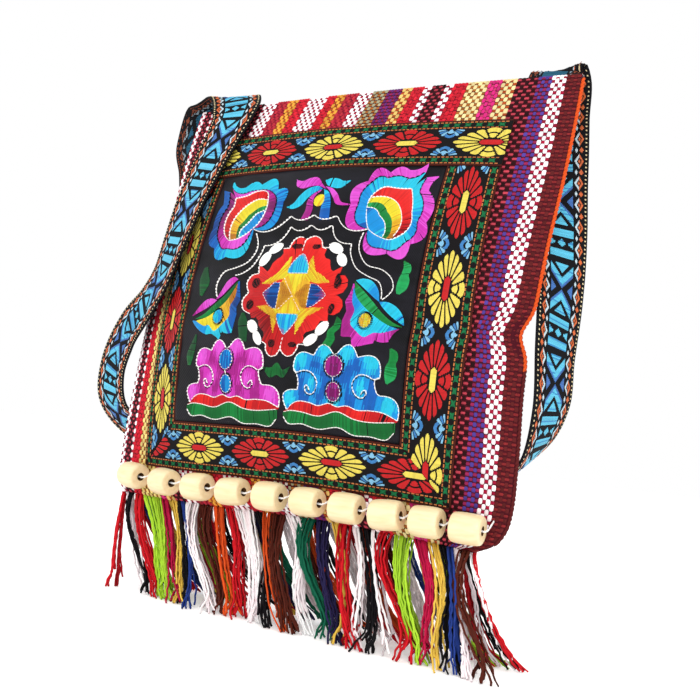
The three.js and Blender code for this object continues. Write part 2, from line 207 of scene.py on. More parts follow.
# Shape of the pouch
def along_table(column, at):
    """Value of a column of SECTIONS at a rise, on a smooth curve through the rows."""
    rises = SECTIONS[:, 0]
    values = SECTIONS[:, COLUMNS.index(column)]
    last = len(rises) - 1
    before = np.maximum(np.arange(last + 1) - 1, 0)
    after = np.minimum(np.arange(last + 1) + 1, last)
    tangents = (values[after] - values[before]) / (rises[after] - rises[before])
    i = np.clip(np.searchsorted(rises, at) - 1, 0, last - 1)
    span = rises[i + 1] - rises[i]
    f = np.clip((at - rises[i]) / span, 0, 1)
    start = values[i] * (1 + 2 * f) * (1 - f) ** 2 + tangents[i] * span * f * (1 - f) ** 2
    end = values[i + 1] * f * f * (3 - 2 * f) + tangents[i + 1] * span * f * f * (f - 1)
    return start + end


def middle_plane(rise):
    bend = (math.tan(LEAN_MOUTH) - math.tan(LEAN_HEM)) / (2 * POUCH_HEIGHT)
    return math.tan(LEAN_HEM) * rise + bend * rise * rise


def level_shift(x, rise):
    f = np.clip(rise / POUCH_HEIGHT, 0, 1)
    wave = HEM_WAVE["height"] * np.cos(2 * np.pi * (x - HEM_WAVE["crest"]) / HEM_WAVE["length"])
    sag = MOUTH_SAG * (1 - (x / SECTIONS[-1, 2]) ** 2)
    return wave * (1 - f) ** 2 - sag * f**2


def half_width(x, rise):
    """Half width of the pouch on the side of x."""
    right = along_table("right", rise) - DENT["inset"] * bell(rise - DENT["rise"], DENT["height"])
    return np.where(x < 0, along_table("left", rise), right)


def pouch_point(face, x, rise, inner=False):
    half = half_width(x, rise) - (SEAM_INSET if inner else 0)
    seam = INNER_SEAM_HALF if inner else SEAM_HALF
    full = along_table(face, rise) - (WALL if inner else 0)
    crease = smoothstep(x, DENT["from"], DENT["to"]) * bell(rise - DENT["rise"], DENT["height"])
    lens = seam + (full - seam) * (1 - (x / half) ** 2)
    depth = np.maximum(lens - DENT["crease"] * crease, seam)
    y = middle_plane(rise) + (-depth if face == "front" else depth)
    return np.stack(np.broadcast_arrays(x, y, HEM_HEIGHT + rise + level_shift(x, rise)), axis=-1)


def lifted(face, x, rise, lift, inner=False):
    """A point lifted off the outer cloth along its normal, or off the inner cloth into the bag."""
    x, rise, lift = np.broadcast_arrays(np.asarray(x, float), np.asarray(rise, float), lift)
    along_x = pouch_point(face, x + 1, rise, inner) - pouch_point(face, x - 1, rise, inner)
    along_rise = pouch_point(face, x, rise + 1, inner) - pouch_point(face, x, rise - 1, inner)
    normal = np.cross(along_x, along_rise) * (1 if (face == "front") != inner else -1)
    return pouch_point(face, x, rise, inner) + unit(normal) * lift[..., None]


def cloth_x(across, rise):
    """Where a warp end of the flat cloth lies. The ends near the side seams follow the outline."""
    pull = smoothstep(np.abs(across), 95, FLAT_HALF)
    return across + np.sign(across) * (half_width(across, rise) - FLAT_HALF) * pull


def bead_place(number):
    """Centre and axis of a bead along the hem."""
    t = number / (BEAD["count"] - 1)
    x = BEAD["first"] + (BEAD["last"] - BEAD["first"]) * t * (1 + BEAD_CROWDING * (1 - t))
    lift = BEAD["radius"] + PIECE_GAP
    axis = lifted("front", x + 4, BEAD["rise"], lift) - lifted("front", x - 4, BEAD["rise"], lift)
    return lifted("front", x, BEAD["rise"], lift), unit(axis)


bead_box = np.array(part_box("bead_01")) * 1000
OFFSET = bead_box.mean(axis=0) - bead_place(0)[0]


def shown(points):
    """Points of the bag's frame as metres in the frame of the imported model."""
    return (np.asarray(points, float) + OFFSET) / 1000


# Materials
def linear(hex_colour):
    channels = [int(hex_colour[i:i + 2], 16) / 255 for i in (0, 2, 4)]
    return [c / 12.92 if c <= 0.04045 else ((c + 0.055) / 1.055) ** 2.4 for c in channels]


# Lighter and darker copies of a thread's colour. Most give a random tone; in the fringe the darker copies are
# painted shade on the yarns inside each lock, and the lighter copy is used only on its outer yarns.
SHADES = {"": 1.0, "_lit": 1.18, "_dim": 0.8, "_deep": 0.55}
BRIGHTEST = 0.92
FIBRE_SCALE = 1400


def set_inputs(node, values):
    for name, value in values.items():
        node.inputs[name].default_value = value


def new_material(name):
    """A material, its nodes and links, and its main shader."""
    material = bpy.data.materials.new(name)
    material.use_nodes = True
    tree = material.node_tree
    return material, tree.nodes, tree.links, tree.nodes["Principled BSDF"]


def new_node(nodes, kind, values):
    node = nodes.new(f"ShaderNode{kind}")
    set_inputs(node, values)
    return node


def add_bump(nodes, links, texture, shader, strength, distance):
    """Raises a shader's surface by a texture."""
    bump = new_node(nodes, "Bump", {"Strength": strength, "Distance": distance})
    links.new(texture.outputs["Fac"], bump.inputs["Height"])
    links.new(bump.outputs["Normal"], shader.inputs["Normal"])


def add_grain(nodes, links, shader, stretch, detail, stops):
    """Colours a shader by stretched noise, between two stops that are a position and a colour."""
    place = nodes.new("ShaderNodeTexCoord")
    scaled = new_node(nodes, "Mapping", {"Scale": stretch})
    grain = new_node(nodes, "TexNoise", {"Scale": 1, "Detail": detail})
    ramp = nodes.new("ShaderNodeValToRGB")
    for element, (position, colour) in zip(ramp.color_ramp.elements, stops):
        element.position = position
        element.color = (*linear(colour), 1)
    links.new(place.outputs["Object"], scaled.inputs["Vector"])
    links.new(scaled.outputs["Vector"], grain.inputs["Vector"])
    links.new(grain.outputs["Fac"], ramp.inputs["Fac"])
    links.new(ramp.outputs["Color"], shader.inputs["Base Color"])
    return place, grain


def thread_material(name):
    """A spun thread: its own colour scaled by its shade copy, which is a random tone on most threads and
    painted shade on the inner yarns of the fringe; fine fibres as bump, and a dull or silky surface.
    """
    ending = max((end for end in SHADES if name.endswith(end)), key=len)
    plain = name.removesuffix(ending)
    shiny = plain.startswith(SHINY)
    shade = 1 + (SHADES[ending] - 1) * (0.5 if shiny else 1)
    dye = DYE["pale" if plain in PALE else "dyed"]
    colour = [min(c * shade * dye, BRIGHTEST) for c in linear(PALETTE[plain])]
    material, nodes, links, shader = new_material(name)
    set_inputs(shader, {
        "Base Color": (*colour, 1),
        "Roughness": 0.45 if shiny else 0.8,
        "Specular IOR Level": 0.22 if shiny else 0.12,
    })
    place = nodes.new("ShaderNodeTexCoord")
    fibres = new_node(nodes, "TexNoise", {"Scale": FIBRE_SCALE, "Detail": 2})
    links.new(place.outputs["Object"], fibres.inputs["Vector"])
    add_bump(nodes, links, fibres, shader, 0.15 if shiny else 0.35, 0.0003)
    return material


def wood_material():
    """Pale turned wood: faint long grain in its colour and surface, and a waxed finish."""
    material, nodes, links, shader = new_material("pale_wood")
    set_inputs(shader, {"Roughness": 0.42, "Coat Weight": 0.15, "Coat Roughness": 0.3})
    _, grain = add_grain(nodes, links, shader, (60, 420, 420), 5, ((0.3, "e5cd9b"), (0.62, "eed9ae")))
    add_bump(nodes, links, grain, shader, 0.12, 0.0004)
    return material


def satin_material():
    """Black satin: a fine twill, and a painted sheen that makes its colour lighter and darker in soft
    streaks.
    """
    material, nodes, links, shader = new_material("panel_satin")
    set_inputs(shader, {"Roughness": 0.5, "Specular IOR Level": 0.1})
    # The noise streaks in the base colour are painted sheen.
    place, _ = add_grain(nodes, links, shader, (26, 26, 60), 4, ((0.35, "070709"), (0.68, "1a1920")))
    twill = new_node(nodes, "TexWave", {"Scale": 380, "Distortion": 0.6})
    twill.bands_direction = "DIAGONAL"
    links.new(place.outputs["Object"], twill.inputs["Vector"])
    add_bump(nodes, links, twill, shader, 0.3, 0.0003)
    return material


THREADS = {"panel_satin": satin_material()}


def thread(name):
    if name not in THREADS:
        THREADS[name] = thread_material(name)
    return THREADS[name]


def varied(names):
    """The names of some threads, a few of them in a lighter or a darker shade."""
    pick = chance.choice(["", "_lit", "_dim"], size=len(names), p=(0.6, 0.2, 0.2))
    return [name + shade for name, shade in zip(names, pick)]


# Meshes, and the slanted direction that sets how the sides of a tube are turned
TUBE_TURN = (0.31, 0.93, 0.17)


def grid_faces(rows, columns):
    """Quads of a grid of points whose columns run fastest."""
    r, c = np.meshgrid(np.arange(rows - 1), np.arange(columns - 1), indexing="ij")
    corner = (r * columns + c).ravel()
    return np.stack([corner, corner + 1, corner + columns + 1, corner + columns], axis=1)


class Heap:
    """Gathers many small patches of several threads into one mesh."""

    def __init__(self):
        self.points = []
        self.faces = []
        self.names = []
        self.count = 0
        self.flip = False

    def patches(self, points, faces, names):
        """Adds copies of one patch: points is copies x points x 3, and names has one name a copy."""
        if self.flip:
            faces = faces[:, ::-1]
        copies, each = points.shape[:2]
        starts = self.count + each * np.arange(copies)
        self.points.append(points.reshape(-1, 3))
        self.faces.append((faces[None] + starts[:, None, None]).reshape(-1, faces.shape[1]))
        self.names.extend(np.repeat(names, len(faces)))
        self.count += copies * each

    def patch(self, points, faces, names):
        """Adds one patch, with one thread's name for all its faces or one for each of them."""
        self.points.append(points.reshape(-1, 3))
        self.faces.append(faces + self.count)
        self.names.extend([names] * len(faces) if isinstance(names, str) else names)
        self.count += len(self.points[-1])

    def piece(self, name, slot, smooth=True):
        """The gathered patches as an object that rides on the bag."""
        points = shown(np.concatenate(self.points))
        kinds, picks = np.unique(np.array(self.names), return_inverse=True)
        faces = [row for block in self.faces for row in block.tolist()]
        mesh = bpy.data.meshes.new(name)
        mesh.from_pydata(points.tolist(), [], faces)
        for kind in kinds:
            mesh.materials.append(thread(str(kind)))
        mesh.polygons.foreach_set("material_index", picks.astype(np.int32))
        mesh.polygons.foreach_set("use_smooth", np.full(len(faces), smooth))
        mesh.update()
        return add_piece(name, mesh)


def link_object(name, data):
    made = bpy.data.objects.new(name, data)
    bpy.context.scene.collection.objects.link(made)
    return made


def add_piece(name, mesh):
    made = link_object(name, mesh)
    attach(made, "root")
    return made


def single(name, slot, points, faces, names):
    """A piece made of one patch."""
    heap = Heap()
    heap.patch(points, faces, names)
    return heap.piece(name, slot)


def weld(made):
    """Joins points that lie in the same place."""
    work = bmesh.new()
    work.from_mesh(made.data)
    bmesh.ops.remove_doubles(work, verts=work.verts, dist=1e-6)
    work.to_mesh(made.data)
    work.free()


def slab(under, outside):
    """Points and quads of a closed slab between two grids of points."""
    rows, columns = outside.shape[:2]
    points = np.concatenate([outside.reshape(-1, 3), under.reshape(-1, 3)])
    front = grid_faces(rows, columns)
    back = front[:, ::-1] + rows * columns
    index = np.arange(rows * columns).reshape(rows, columns)
    rim = np.concatenate([index[0], index[1:, -1], index[-1, -2::-1], index[-2:0:-1, 0]])
    after = np.roll(rim, -1)
    wall = np.stack([after, rim, rim + rows * columns, after + rows * columns], axis=1)
    return points, np.concatenate([front, back, wall])


def ring_faces(rings, sides, closed=False):
    """Quads between rings of points, and from the last ring to the first if closed."""
    j, k = np.meshgrid(np.arange(rings if closed else rings - 1), np.arange(sides), indexing="ij")
    after, ahead = (j + 1) % rings, (k + 1) % sides
    corners = [j * sides + k, j * sides + ahead, after * sides + ahead, after * sides + k]
    return np.stack(corners, axis=-1).reshape(-1, 4)


def tubes(heap, paths, radius, names, sides):
    """Round threads along paths: paths is threads x points x 3. Square ones are closed at their start."""
    tangent = unit(np.gradient(paths, axis=1))
    side = unit(np.cross(tangent, TUBE_TURN))
    up = np.cross(side, tangent)
    turn = np.linspace(0, 2 * np.pi, sides, endpoint=False)[None, None, :, None]
    radius = np.broadcast_to(radius, paths.shape[:2])[..., None, None]
    ring = paths[:, :, None] + radius * (np.cos(turn) * side[:, :, None] + np.sin(turn) * up[:, :, None])
    faces = ring_faces(paths.shape[1], sides)
    if sides == 4:
        faces = np.concatenate([faces, [[0, 3, 2, 1]]])
    heap.patches(ring.reshape(len(paths), -1, 3), faces[:, ::-1], names)


# Curves in the flat of a piece of cloth
def arcs(rows, step=0.8):
    """A line of arcs: each row is x, y and the arc's height over its chord, to the left of travel."""
    rows = np.array(rows, float)
    line = []
    for (x0, y0, bulge), (x1, y1, _) in zip(rows[:-1], rows[1:]):
        chord = np.array([x1 - x0, y1 - y0])
        count = max(2, math.ceil(np.linalg.norm(chord) / step))
        t = np.arange(count)[:, None] / count
        left = np.array([-chord[1], chord[0]])
        line.append(np.array([x0, y0]) + chord * t + left * bulge * 4 * t * (1 - t))
    return np.concatenate([*line, rows[-1:, :2]])


def smooth(points, closed=False, per=8):
    """A smooth curve through a few points."""
    p = np.array(points, float)
    if closed:
        p = np.concatenate([p[-1:], p, p[:2]])
    else:
        p = np.concatenate([2 * p[:1] - p[1:2], p, 2 * p[-1:] - p[-2:-1]])
    t = np.arange(per)[:, None] / per
    line = []
    for a, b, c, d in zip(p[:-3], p[1:-2], p[2:-1], p[3:]):
        line.append(b + 0.5 * t * (c - a + t * (2 * a - 5 * b + 4 * c - d + t * (3 * (b - c) + d - a))))
    return np.concatenate([*line, p[-2:-1]])


def ellipse(centre, radii, count=28):
    turn = np.linspace(0, 2 * np.pi, count, endpoint=False)
    return np.array(centre) + np.stack([radii[0] * np.cos(turn), radii[1] * np.sin(turn)], axis=1)


def evenly(line, count):
    """Points at even distances along a line."""
    lengths = np.concatenate([[0], np.cumsum(np.linalg.norm(np.diff(line, axis=0), axis=1))])
    at = np.linspace(0, lengths[-1], count)
    return np.stack([np.interp(at, lengths, line[:, k]) for k in (0, 1)], axis=1)


def length_of(line):
    return np.linalg.norm(np.diff(line, axis=0), axis=1).sum()


# Stitches
STITCH_PITCH = 0.72


def lay(heap, surface, starts, ends, names, width=0.9, height=0.5, base=0.1, steps=3):
    """Lays threads as low ridges on a surface, each from a start to an end."""
    starts = np.asarray(starts, float)
    run = np.asarray(ends, float) - starts
    side = np.stack([-run[:, 1], run[:, 0]], axis=1)
    side *= width / 2 / np.maximum(np.linalg.norm(run, axis=1, keepdims=True), 1e-6)
    t = np.linspace(0, 1, steps + 1)
    along = starts[:, None] + run[:, None] * t[None, :, None]
    places = np.stack([along - side[:, None], along, along + side[:, None]], axis=2)
    crest = base + height * (1 - 0.8 * (2 * t - 1) ** 4)
    lifts = np.stack([np.full_like(t, base * 0.5), crest, np.full_like(t, base * 0.5)], axis=1)
    points = surface(places[..., 0], places[..., 1], np.broadcast_to(lifts, places.shape[:3]))
    heap.patches(points.reshape(len(starts), -1, 3), grid_faces(steps + 1, 3)[:, ::-1], names)


def fill(outline, angle=0.0, pitch=STITCH_PITCH):
    """Starts and ends of the parallel threads that fill an outline."""
    turn = math.radians(angle)
    axes = np.array([[math.cos(turn), -math.sin(turn)], [math.sin(turn), math.cos(turn)]])
    flat = np.asarray(outline, float) @ axes
    a, b = flat, np.roll(flat, -1, axis=0)
    starts, ends = [], []
    for level in np.arange(flat[:, 1].min() + pitch / 2, flat[:, 1].max(), pitch):
        cut = (a[:, 1] <= level) != (b[:, 1] <= level)
        low, high = a[cut], b[cut]
        x = np.sort(low[:, 0] + (level - low[:, 1]) * (high[:, 0] - low[:, 0]) / (high[:, 1] - low[:, 1]))
        for k in range(0, len(x) - 1, 2):
            starts.append((x[k], level))
            ends.append((x[k + 1], level))
    if not starts:
        return np.zeros((0, 2)), np.zeros((0, 2))
    return np.array(starts) @ axes.T, np.array(ends) @ axes.T


def split(starts, ends, longest):
    """Cuts long threads into stitches whose ends are staggered from one thread to the next."""
    new_starts, new_ends = [], []
    for i, (a, b) in enumerate(zip(starts, ends)):
        length = np.linalg.norm(b - a)
        cuts = np.arange(longest * (0.5 + 0.5 * (i % 2)), length - 1, longest) / length
        marks = np.concatenate([[0], cuts, [1]])
        for low, high in zip(marks[:-1], marks[1:]):
            new_starts.append(a + (b - a) * low)
            new_ends.append(a + (b - a) * high)
    return np.array(new_starts), np.array(new_ends)


def ladder(side_a, side_b, pitch=STITCH_PITCH):
    """Starts and ends of the threads that run from one side of a band to the other."""
    count = max(3, math.ceil(max(length_of(side_a), length_of(side_b)) / pitch))
    return evenly(side_a, count), evenly(side_b, count)


def ramped(names, count, wobble=0.3):
    """Names of threads that pass from one shade to the next and back over a band."""
    f = np.linspace(0, len(names) - 1, count) + chance.normal(0, wobble, count)
    return [names[k] for k in np.clip(np.rint(f), 0, len(names) - 1).astype(int)]


# Cloth of the pouch
def warp_columns(stripes):
    """Middle, width and stripe of each warp column from left to right."""
    start = -FLAT_HALF
    columns = []
    for number, (end, *_) in enumerate(stripes):
        count = max(1, round((end - start) / WARP_PITCH))
        width = (end - start) / count
        columns += [(start + width * (k + 0.5), width, number) for k in range(count)]
        start = end
    return np.array(columns)


WARPS = {face: warp_columns(stripes) for face, stripes in CLOTH.items()}


def colours_of(face, columns, kind):
    """Colours of some warp columns' stripes: kind 1 is the warp, 2 the weft and 3 the fringe."""
    return [CLOTH[face][int(number)][kind] for number in WARPS[face][columns, 2]]


def under_frame(x, rise, margin=4):
    inside = np.abs(x) < FRAME["half"] - margin
    return inside & (rise > FRAME["bottom"] + margin) & (rise < FRAME["top"] - margin)


# Floats by yarn (full, dark, other): half width in columns, half length in mm and height
WARP_FLOATS = np.array([(0.53, 1.5, 0.9), (0.48, 1.2, 0.4), (0.5, 1.12, 0.62)])
WEFT_FLOATS = np.array([(0.54, 0.8, 0.5), (0.62, 0.64, 0.75), (0.56, 0.8, 0.7)])


def weave(heap, face, inner=False, low=1.3):
    """Warp floats in the stripes' colours and the weft's floats between them."""
    warps = WARPS[face]
    rises = np.arange(low, POUCH_HEIGHT - 0.5, WEFT_PITCH)
    column, row = (a.ravel() for a in np.meshgrid(np.arange(len(warps)), np.arange(len(rises))))
    across = warps[column, 0] + chance.normal(0, WEAVE_JITTER["across"], len(column))
    rise = rises[row] + chance.normal(0, WEAVE_JITTER["rise"], len(row))
    seen = np.ones(len(column), bool)
    if face == "front" and not inner:
        seen = ~under_frame(across, rise)
    colours = colours_of(face, slice(None), 1)
    group = np.where(np.isin(colours, FULL_YARNS), 0, np.where(np.isin(colours, DARK_YARNS), 1, 2))
    inset = SEAM_INSET / FLAT_HALF if inner else 0
    for kind, floats, wide_steps, long_steps in (
        (1, WARP_FLOATS, (-1, -0.45, 0.45, 1), (-1, -0.55, 0.55, 1)),
        (2, WEFT_FLOATS, (-1, 0, 1), (-1, 0, 1)),
    ):
        used = seen & ((column + row) % 2 == kind - 1)
        u, v = (a.ravel() for a in np.meshgrid(wide_steps, long_steps))
        half_wide, half_tall, high = floats[group[column[used]]].T
        swell = chance.uniform(*FLOAT_SWELL, used.sum())[:, None]
        dome = (1 - 0.9 * u**2) * (1 - 0.92 * v**4)
        wide = u * np.sqrt(1 - 0.55 * v**4)
        level = np.minimum(rise[used][:, None] + v * half_tall[:, None] * swell, POUCH_HEIGHT)
        shift = wide * half_wide[:, None] * swell * warps[column[used], 1][:, None]
        x = cloth_x(across[used][:, None] + shift, level) * (1 - inset)
        points = lifted(face, x, level, FLOAT_BASE + high[:, None] * swell * dome, inner)
        faces = grid_faces(len(long_steps), len(wide_steps))
        if (face == "back") != inner:
            faces = faces[:, ::-1]
        heap.patches(points, faces, varied(colours_of(face, column[used], kind)))


# Way of a warp end over the mouth: rise above it, and lift off the outer cloth
RIM_TURN = np.array([
    (-0.9, 0.3), (0.0, 0.7), (0.5, 0.3), (0.6, -0.9), (0.2, -2.0), (-1.2, -2.5), (-2.4, -2.2),
])


def rim_turns(heap, face):
    """Warp ends that turn over the mouth into the bag."""
    down, lift = RIM_TURN.T
    u = np.linspace(-1, 1, 4)
    warps = WARPS[face]
    across = warps[:, 0, None, None] + u[None, None, :] * warps[:, 1, None, None] * 0.5
    rise = POUCH_HEIGHT + down[None, :, None] + np.zeros_like(across)
    raised = lift[None, :, None] - 0.35 * u[None, None, :] ** 2
    inside = np.clip(rise, 0, POUCH_HEIGHT)
    points = lifted(face, cloth_x(across, inside), inside, np.broadcast_to(raised, rise.shape))
    points[..., 2] += rise - inside
    faces = grid_faces(len(down), len(u))
    if face == "back":
        faces = faces[:, ::-1]
    names = varied(colours_of(face, slice(None), 1))
    heap.patches(points.reshape(len(warps), -1, 3), faces, names)


def pouch_shell():
    """The cloth under the floats: outer wall, mouth and inner wall, striped inside."""
    heap = Heap()
    edges = np.array([-FLAT_HALF, *(stripe[0] for stripe in STRIPES)], float)
    edges = np.unique(np.concatenate([edges, np.linspace(-FLAT_HALF, FLAT_HALF, 57)]))
    middles = (edges[1:] + edges[:-1]) / 2
    inside = {face: [CLOTH[face][k][1] for k in np.searchsorted([row[0] for row in CLOTH[face]], middles)]
              for face in CLOTH}
    lining = [*inside["front"], "weft", *inside["back"][::-1], "weft"]
    rises = np.concatenate([[0, 2, 5], np.linspace(10, POUCH_HEIGHT, 60)])

    def ring(rise, inner):
        level = np.full(len(edges), float(rise))
        x = cloth_x(edges, level)
        if inner:
            x = x * (1 - SEAM_INSET / FLAT_HALF)
        front = pouch_point("front", x, level, inner)
        back = pouch_point("back", x, level, inner)
        return np.concatenate([front, back[::-1]])

    rings = [ring(rise, False) for rise in rises]
    rings += [ring(rise, True) for rise in rises[::-1] if rise >= INNER_FLOOR]
    # The outer wall and the mouth take a dark red: the weft between the floats, darkened by painted shade in
    # the gaps. The bottom and the inner floor are painted shade in the same colour.
    faces = ring_faces(2, 2 * len(edges))
    for j, (low, high) in enumerate(zip(rings[:-1], rings[1:])):
        heap.patch(np.concatenate([low, high]), faces, lining if j >= len(rises) else "shadow")
    for end, flip in ((rings[0], -1), (rings[-1], 1)):
        grid = np.stack([end[:len(edges)], end[len(edges):][::-1]])
        heap.patch(grid, grid_faces(2, len(edges))[:, ::flip], "shadow")
    shell = heap.piece("pouch_cloth", "woven_cloth")
    weld(shell)
    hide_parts("pouch")


# Rise from which the inside shows at the mouth, and where the side cords change their colour
INSIDE_SEEN = 214
SEAM_TURN = 96
CORD = {"start": 6, "step": 1.1, "outside": 0.5, "overlap": 1.2, "lay": 5, "ply": 0.55, "radius": 0.8,
        "sides": 6}


def make_pouch():
    pouch_shell()
    for face in ("front", "back"):
        heap = Heap()
        weave(heap, face)
        rim_turns(heap, face)
        heap.piece(f"{face}_weave", "woven_cloth")
    heap = Heap()
    for face in ("front", "back"):
        weave(heap, face, True, INSIDE_SEEN)
    heap.piece("inside_weave", "woven_cloth")
    side_seams()


def side_seams():
    """A two-ply cord along each side edge: brown below, orange at the upper right, red at the upper left."""
    heap = Heap()
    rise = np.arange(CORD["start"], POUCH_HEIGHT - 1, CORD["step"])
    for side, upper in ((-1, "weft_scarlet"), (1, "yarn_orange")):
        edge = side * half_width(np.full_like(rise, side), rise)
        seam = (pouch_point("front", edge, rise) + pouch_point("back", edge, rise)) / 2
        middle = seam + (side * CORD["outside"], 0, 0)
        for ply in (0, np.pi):
            turn = rise * 2 * np.pi / CORD["lay"] + ply
            path = middle + CORD["ply"] * np.stack([np.cos(turn), np.sin(turn), 0 * turn], axis=1)
            for part, name in ((rise < SEAM_TURN, "brown"), (rise > SEAM_TURN - CORD["overlap"], upper)):
                tubes(heap, path[part][None], CORD["radius"], [name], CORD["sides"])
    heap.piece("side_cords", "woven_cloth")


# Black panel and its embroidery
PANEL = {"half": FRAME["half"] - FRAME["ribbon"] - PIECE_GAP, "middle": 127, "tall": 77.6}


def puckers(x, q):
    """Small waves of the panel's cloth between the stitches."""
    return 0.28 * np.sin(x / 6.1 + 1.3 * np.sin(q / 9)) * np.cos(q / 7.3) + 0.2 * np.sin(x / 17 - q / 13)


def on_panel(x, q, lift):
    return lifted("front", x, PANEL["middle"] + q, CLOTH_GAP + PANEL_THICK + lift + puckers(x, q))


def panel_ground():
    x, q = np.meshgrid(np.linspace(-PANEL["half"], PANEL["half"], 73),
                       np.linspace(-PANEL["tall"], PANEL["tall"], 73))
    under = lifted("front", x, PANEL["middle"] + q, CLOTH_GAP)
    points, faces = slab(under, on_panel(x, q, np.zeros_like(x)))
    ground = single("panel_cloth", "black_cloth", points, faces, "panel_satin")
    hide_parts("embroidery_panel")


SKY = ("sky_1", "sky_2", "sky_3", "sky_4")
ROSE = ("rose_1", "rose_2", "rose_3", "rose_4")
FIRE = ("fire_1", "fire_2", "fire_3")
SUN = ("sun_1", "sun_2", "sun_3")
GRASS = ("grass_1", "grass_2", "grass_3", "grass_4")


def pick(ramp, *shades):
    return [ramp[k] for k in shades]


class Needle:
    """Embroiders the panel with bands, fills and outlines."""

    def __init__(self):
        self.heap = Heap()

    def band(self, side_a, side_b, shades, base=0.12):
        starts, ends = ladder(side_a, side_b)
        names = np.array(varied(ramped(shades, len(starts))))
        kept = chance.random(len(starts)) > 0.04
        lay(self.heap, on_panel, starts[kept], ends[kept], names[kept], base=base, height=0.7, steps=4)

    def patch(self, outline, angle, shades, base=0.12, longest=9, height=0.6):
        starts, ends = split(*fill(outline, angle, STITCH_PITCH), longest)
        names = varied([shades[k] for k in chance.integers(0, len(shades), len(starts))])
        lay(self.heap, on_panel, starts, ends, names, base=base, height=height)

    def line(self, curve, name="silk", stitch=2.2, width=0.52):
        count = max(2, round(length_of(curve) / stitch) + 1)
        points = evenly(curve, count)
        short = (points[1:] - points[:-1]) * 0.05
        lay(self.heap, on_panel, points[:-1] + short, points[1:] - short, [name] * (count - 1),
            width=width, height=0.75, base=0.4)


# Lines of the two flowers as arcs: their scalloped petals and the bows that stripe their bulbs
RIGHT_FLOWER = {
    "outer_a": [(0, 0, .39), (-15.5, 15.5, .33), (-9.5, 30, .48), (2.5, 35, .27), (13.5, 36.8, -.16),
                (23.5, 41.5, 0)],
    "outer_b": [(31.5, 33, -.12), (28.3, 24, .2), (31.5, 5, .33), (25.5, -8, .5), (14.5, -14, .43),
                (0, 0, 0)],
    "inner_a": [(0, 0, .27), (-10.5, 16, .16), (-6.5, 29.5, .29), (2.5, 31.5, .14), (14.5, 31.2, -.12),
                (23, 35.5, 0)],
    "inner_b": [(25, 32, -.05), (23.5, 23, .16), (26.5, 5, .22), (22.5, -7.5, .27), (11.5, -11, .3),
                (0, 0, 0)],
    "bulb_a": [(0, 0, .06), (-4.7, 15, .12), (-2.5, 22.5, .15), (4.5, 26.3, -.04), (18.5, 25, 0)],
    "bulb_b": [(18.5, 25, .04), (22.5, 10, .22), (17.5, -4.5, .15), (9.5, -5, .05), (0, 0, 0)],
    "far": [(-3.5, 20, .12), (-2.5, 22.5, .15), (4.5, 26.3, -.04), (18.5, 25, .04), (22.5, 10, .22),
            (17.5, -4.5, 0)],
    "bow_1": [(-3.5, 19.5, .24), (18, 6, .1), (15.5, -4, 0)],
    "bow_2": [(-4.5, 16, .2), (8.5, 10.5, .12), (13.5, 0, .1), (12, -5, 0)],
    "bow_3": [(-4.7, 13, .2), (4.5, 8, .12), (10, .5, .1), (9.5, -4.5, 0)],
    "near": [(-4.7, 13, -.05), (0, 0, -.05), (9.5, -4.5, 0)],
}
LEFT_FLOWER = {
    "outer_a": [(-69.2, 73.8, -.14), (-54, 68.4, .24), (-41, 69, .39), (-25.3, 64.4, .48), (-17.1, 56, .42),
                (-33.5, 38.7, 0)],
    "outer_b": [(-76, 67.8, .02), (-71.5, 58, -.14), (-74.6, 42, -.29), (-66.5, 28.6, -.3), (-52, 22, -.38),
                (-33.8, 38, 0)],
    "inner_a": [(-68.3, 69.5, -.12), (-52, 64, .05), (-40, 65.4, .1), (-29, 63, .14), (-21.6, 52.6, .29),
                (-33.5, 39.3, 0)],
    "inner_b": [(-68.8, 66, .03), (-65, 56, -.12), (-67.6, 40.5, -.12), (-62, 31.5, -.2), (-52.5, 27.4, -.28),
                (-34.5, 38.5, 0)],
    "bulb_a": [(-60.5, 61.3, -.02), (-49, 62.3, .08), (-38, 65, .2), (-30.6, 58.5, .08), (-28.6, 50.5, .12),
               (-34.5, 39, 0)],
    "bulb_b": [(-60.5, 61.3, 0), (-59, 55.5, -.1), (-62.3, 45, -.15), (-53, 32.6, -.1), (-34.5, 39, 0)],
    "far": [(-30.6, 58, -.15), (-38, 65, -.06), (-49, 62.3, .02), (-60.5, 61.3, 0), (-59, 55.5, -.1),
            (-62.3, 45, -.15), (-53, 32.6, 0)],
    "bow_1": [(-30.7, 57.8, -.12), (-44, 57, -.1), (-54.5, 46.5, -.11), (-52.5, 33, 0)],
    "bow_2": [(-29.6, 54, -.05), (-36.5, 52.8, 0), (-43, 48.6, .05), (-48.2, 42, -.08), (-47, 33.3, 0)],
    "bow_3": [(-29, 50.8, 0), (-36, 49, 0), (-41, 42.5, -.03), (-45, 39, -.05), (-44.5, 34, 0)],
    "near": [(-28.8, 50.6, .14), (-34.5, 39, 0), (-44.5, 33.8, 0)],
}


def flower(needle, lines, base, outer, inner, shades):
    """A flower with scalloped petals round a striped bulb."""
    put = {name: arcs(rows) + base for name, rows in lines.items()}
    needle.band(put["outer_a"], put["inner_a"], pick(outer, *shades[0]))
    needle.band(put["outer_b"], put["inner_b"], pick(outer, *shades[1]))
    needle.band(put["inner_a"], put["bulb_a"], pick(inner, *shades[2]))
    needle.band(put["inner_b"], put["bulb_b"], pick(inner, *shades[3]))
    needle.band(put["far"], put["bow_1"], pick(FIRE, 1, 0, 0, 0, 1, 2))
    needle.band(put["bow_1"], put["bow_2"], pick(SUN, 0, 0, 0, 1, 2))
    needle.band(put["bow_2"], put["bow_3"], pick(GRASS, 0, 1, 1, 1, 2))
    needle.band(put["bow_3"], put["near"], pick(SKY, 2, 1, 1, 0))
    for name in ("inner_a", "inner_b"):
        needle.line(put[name], "satin", 3, 0.5)
    for name in ("bulb_a", "bulb_b", "bow_3", "bow_1"):
        needle.line(put[name])


def leaf(needle, side_a, side_b, shades):
    needle.band(smooth(side_a), smooth(side_b), shades)


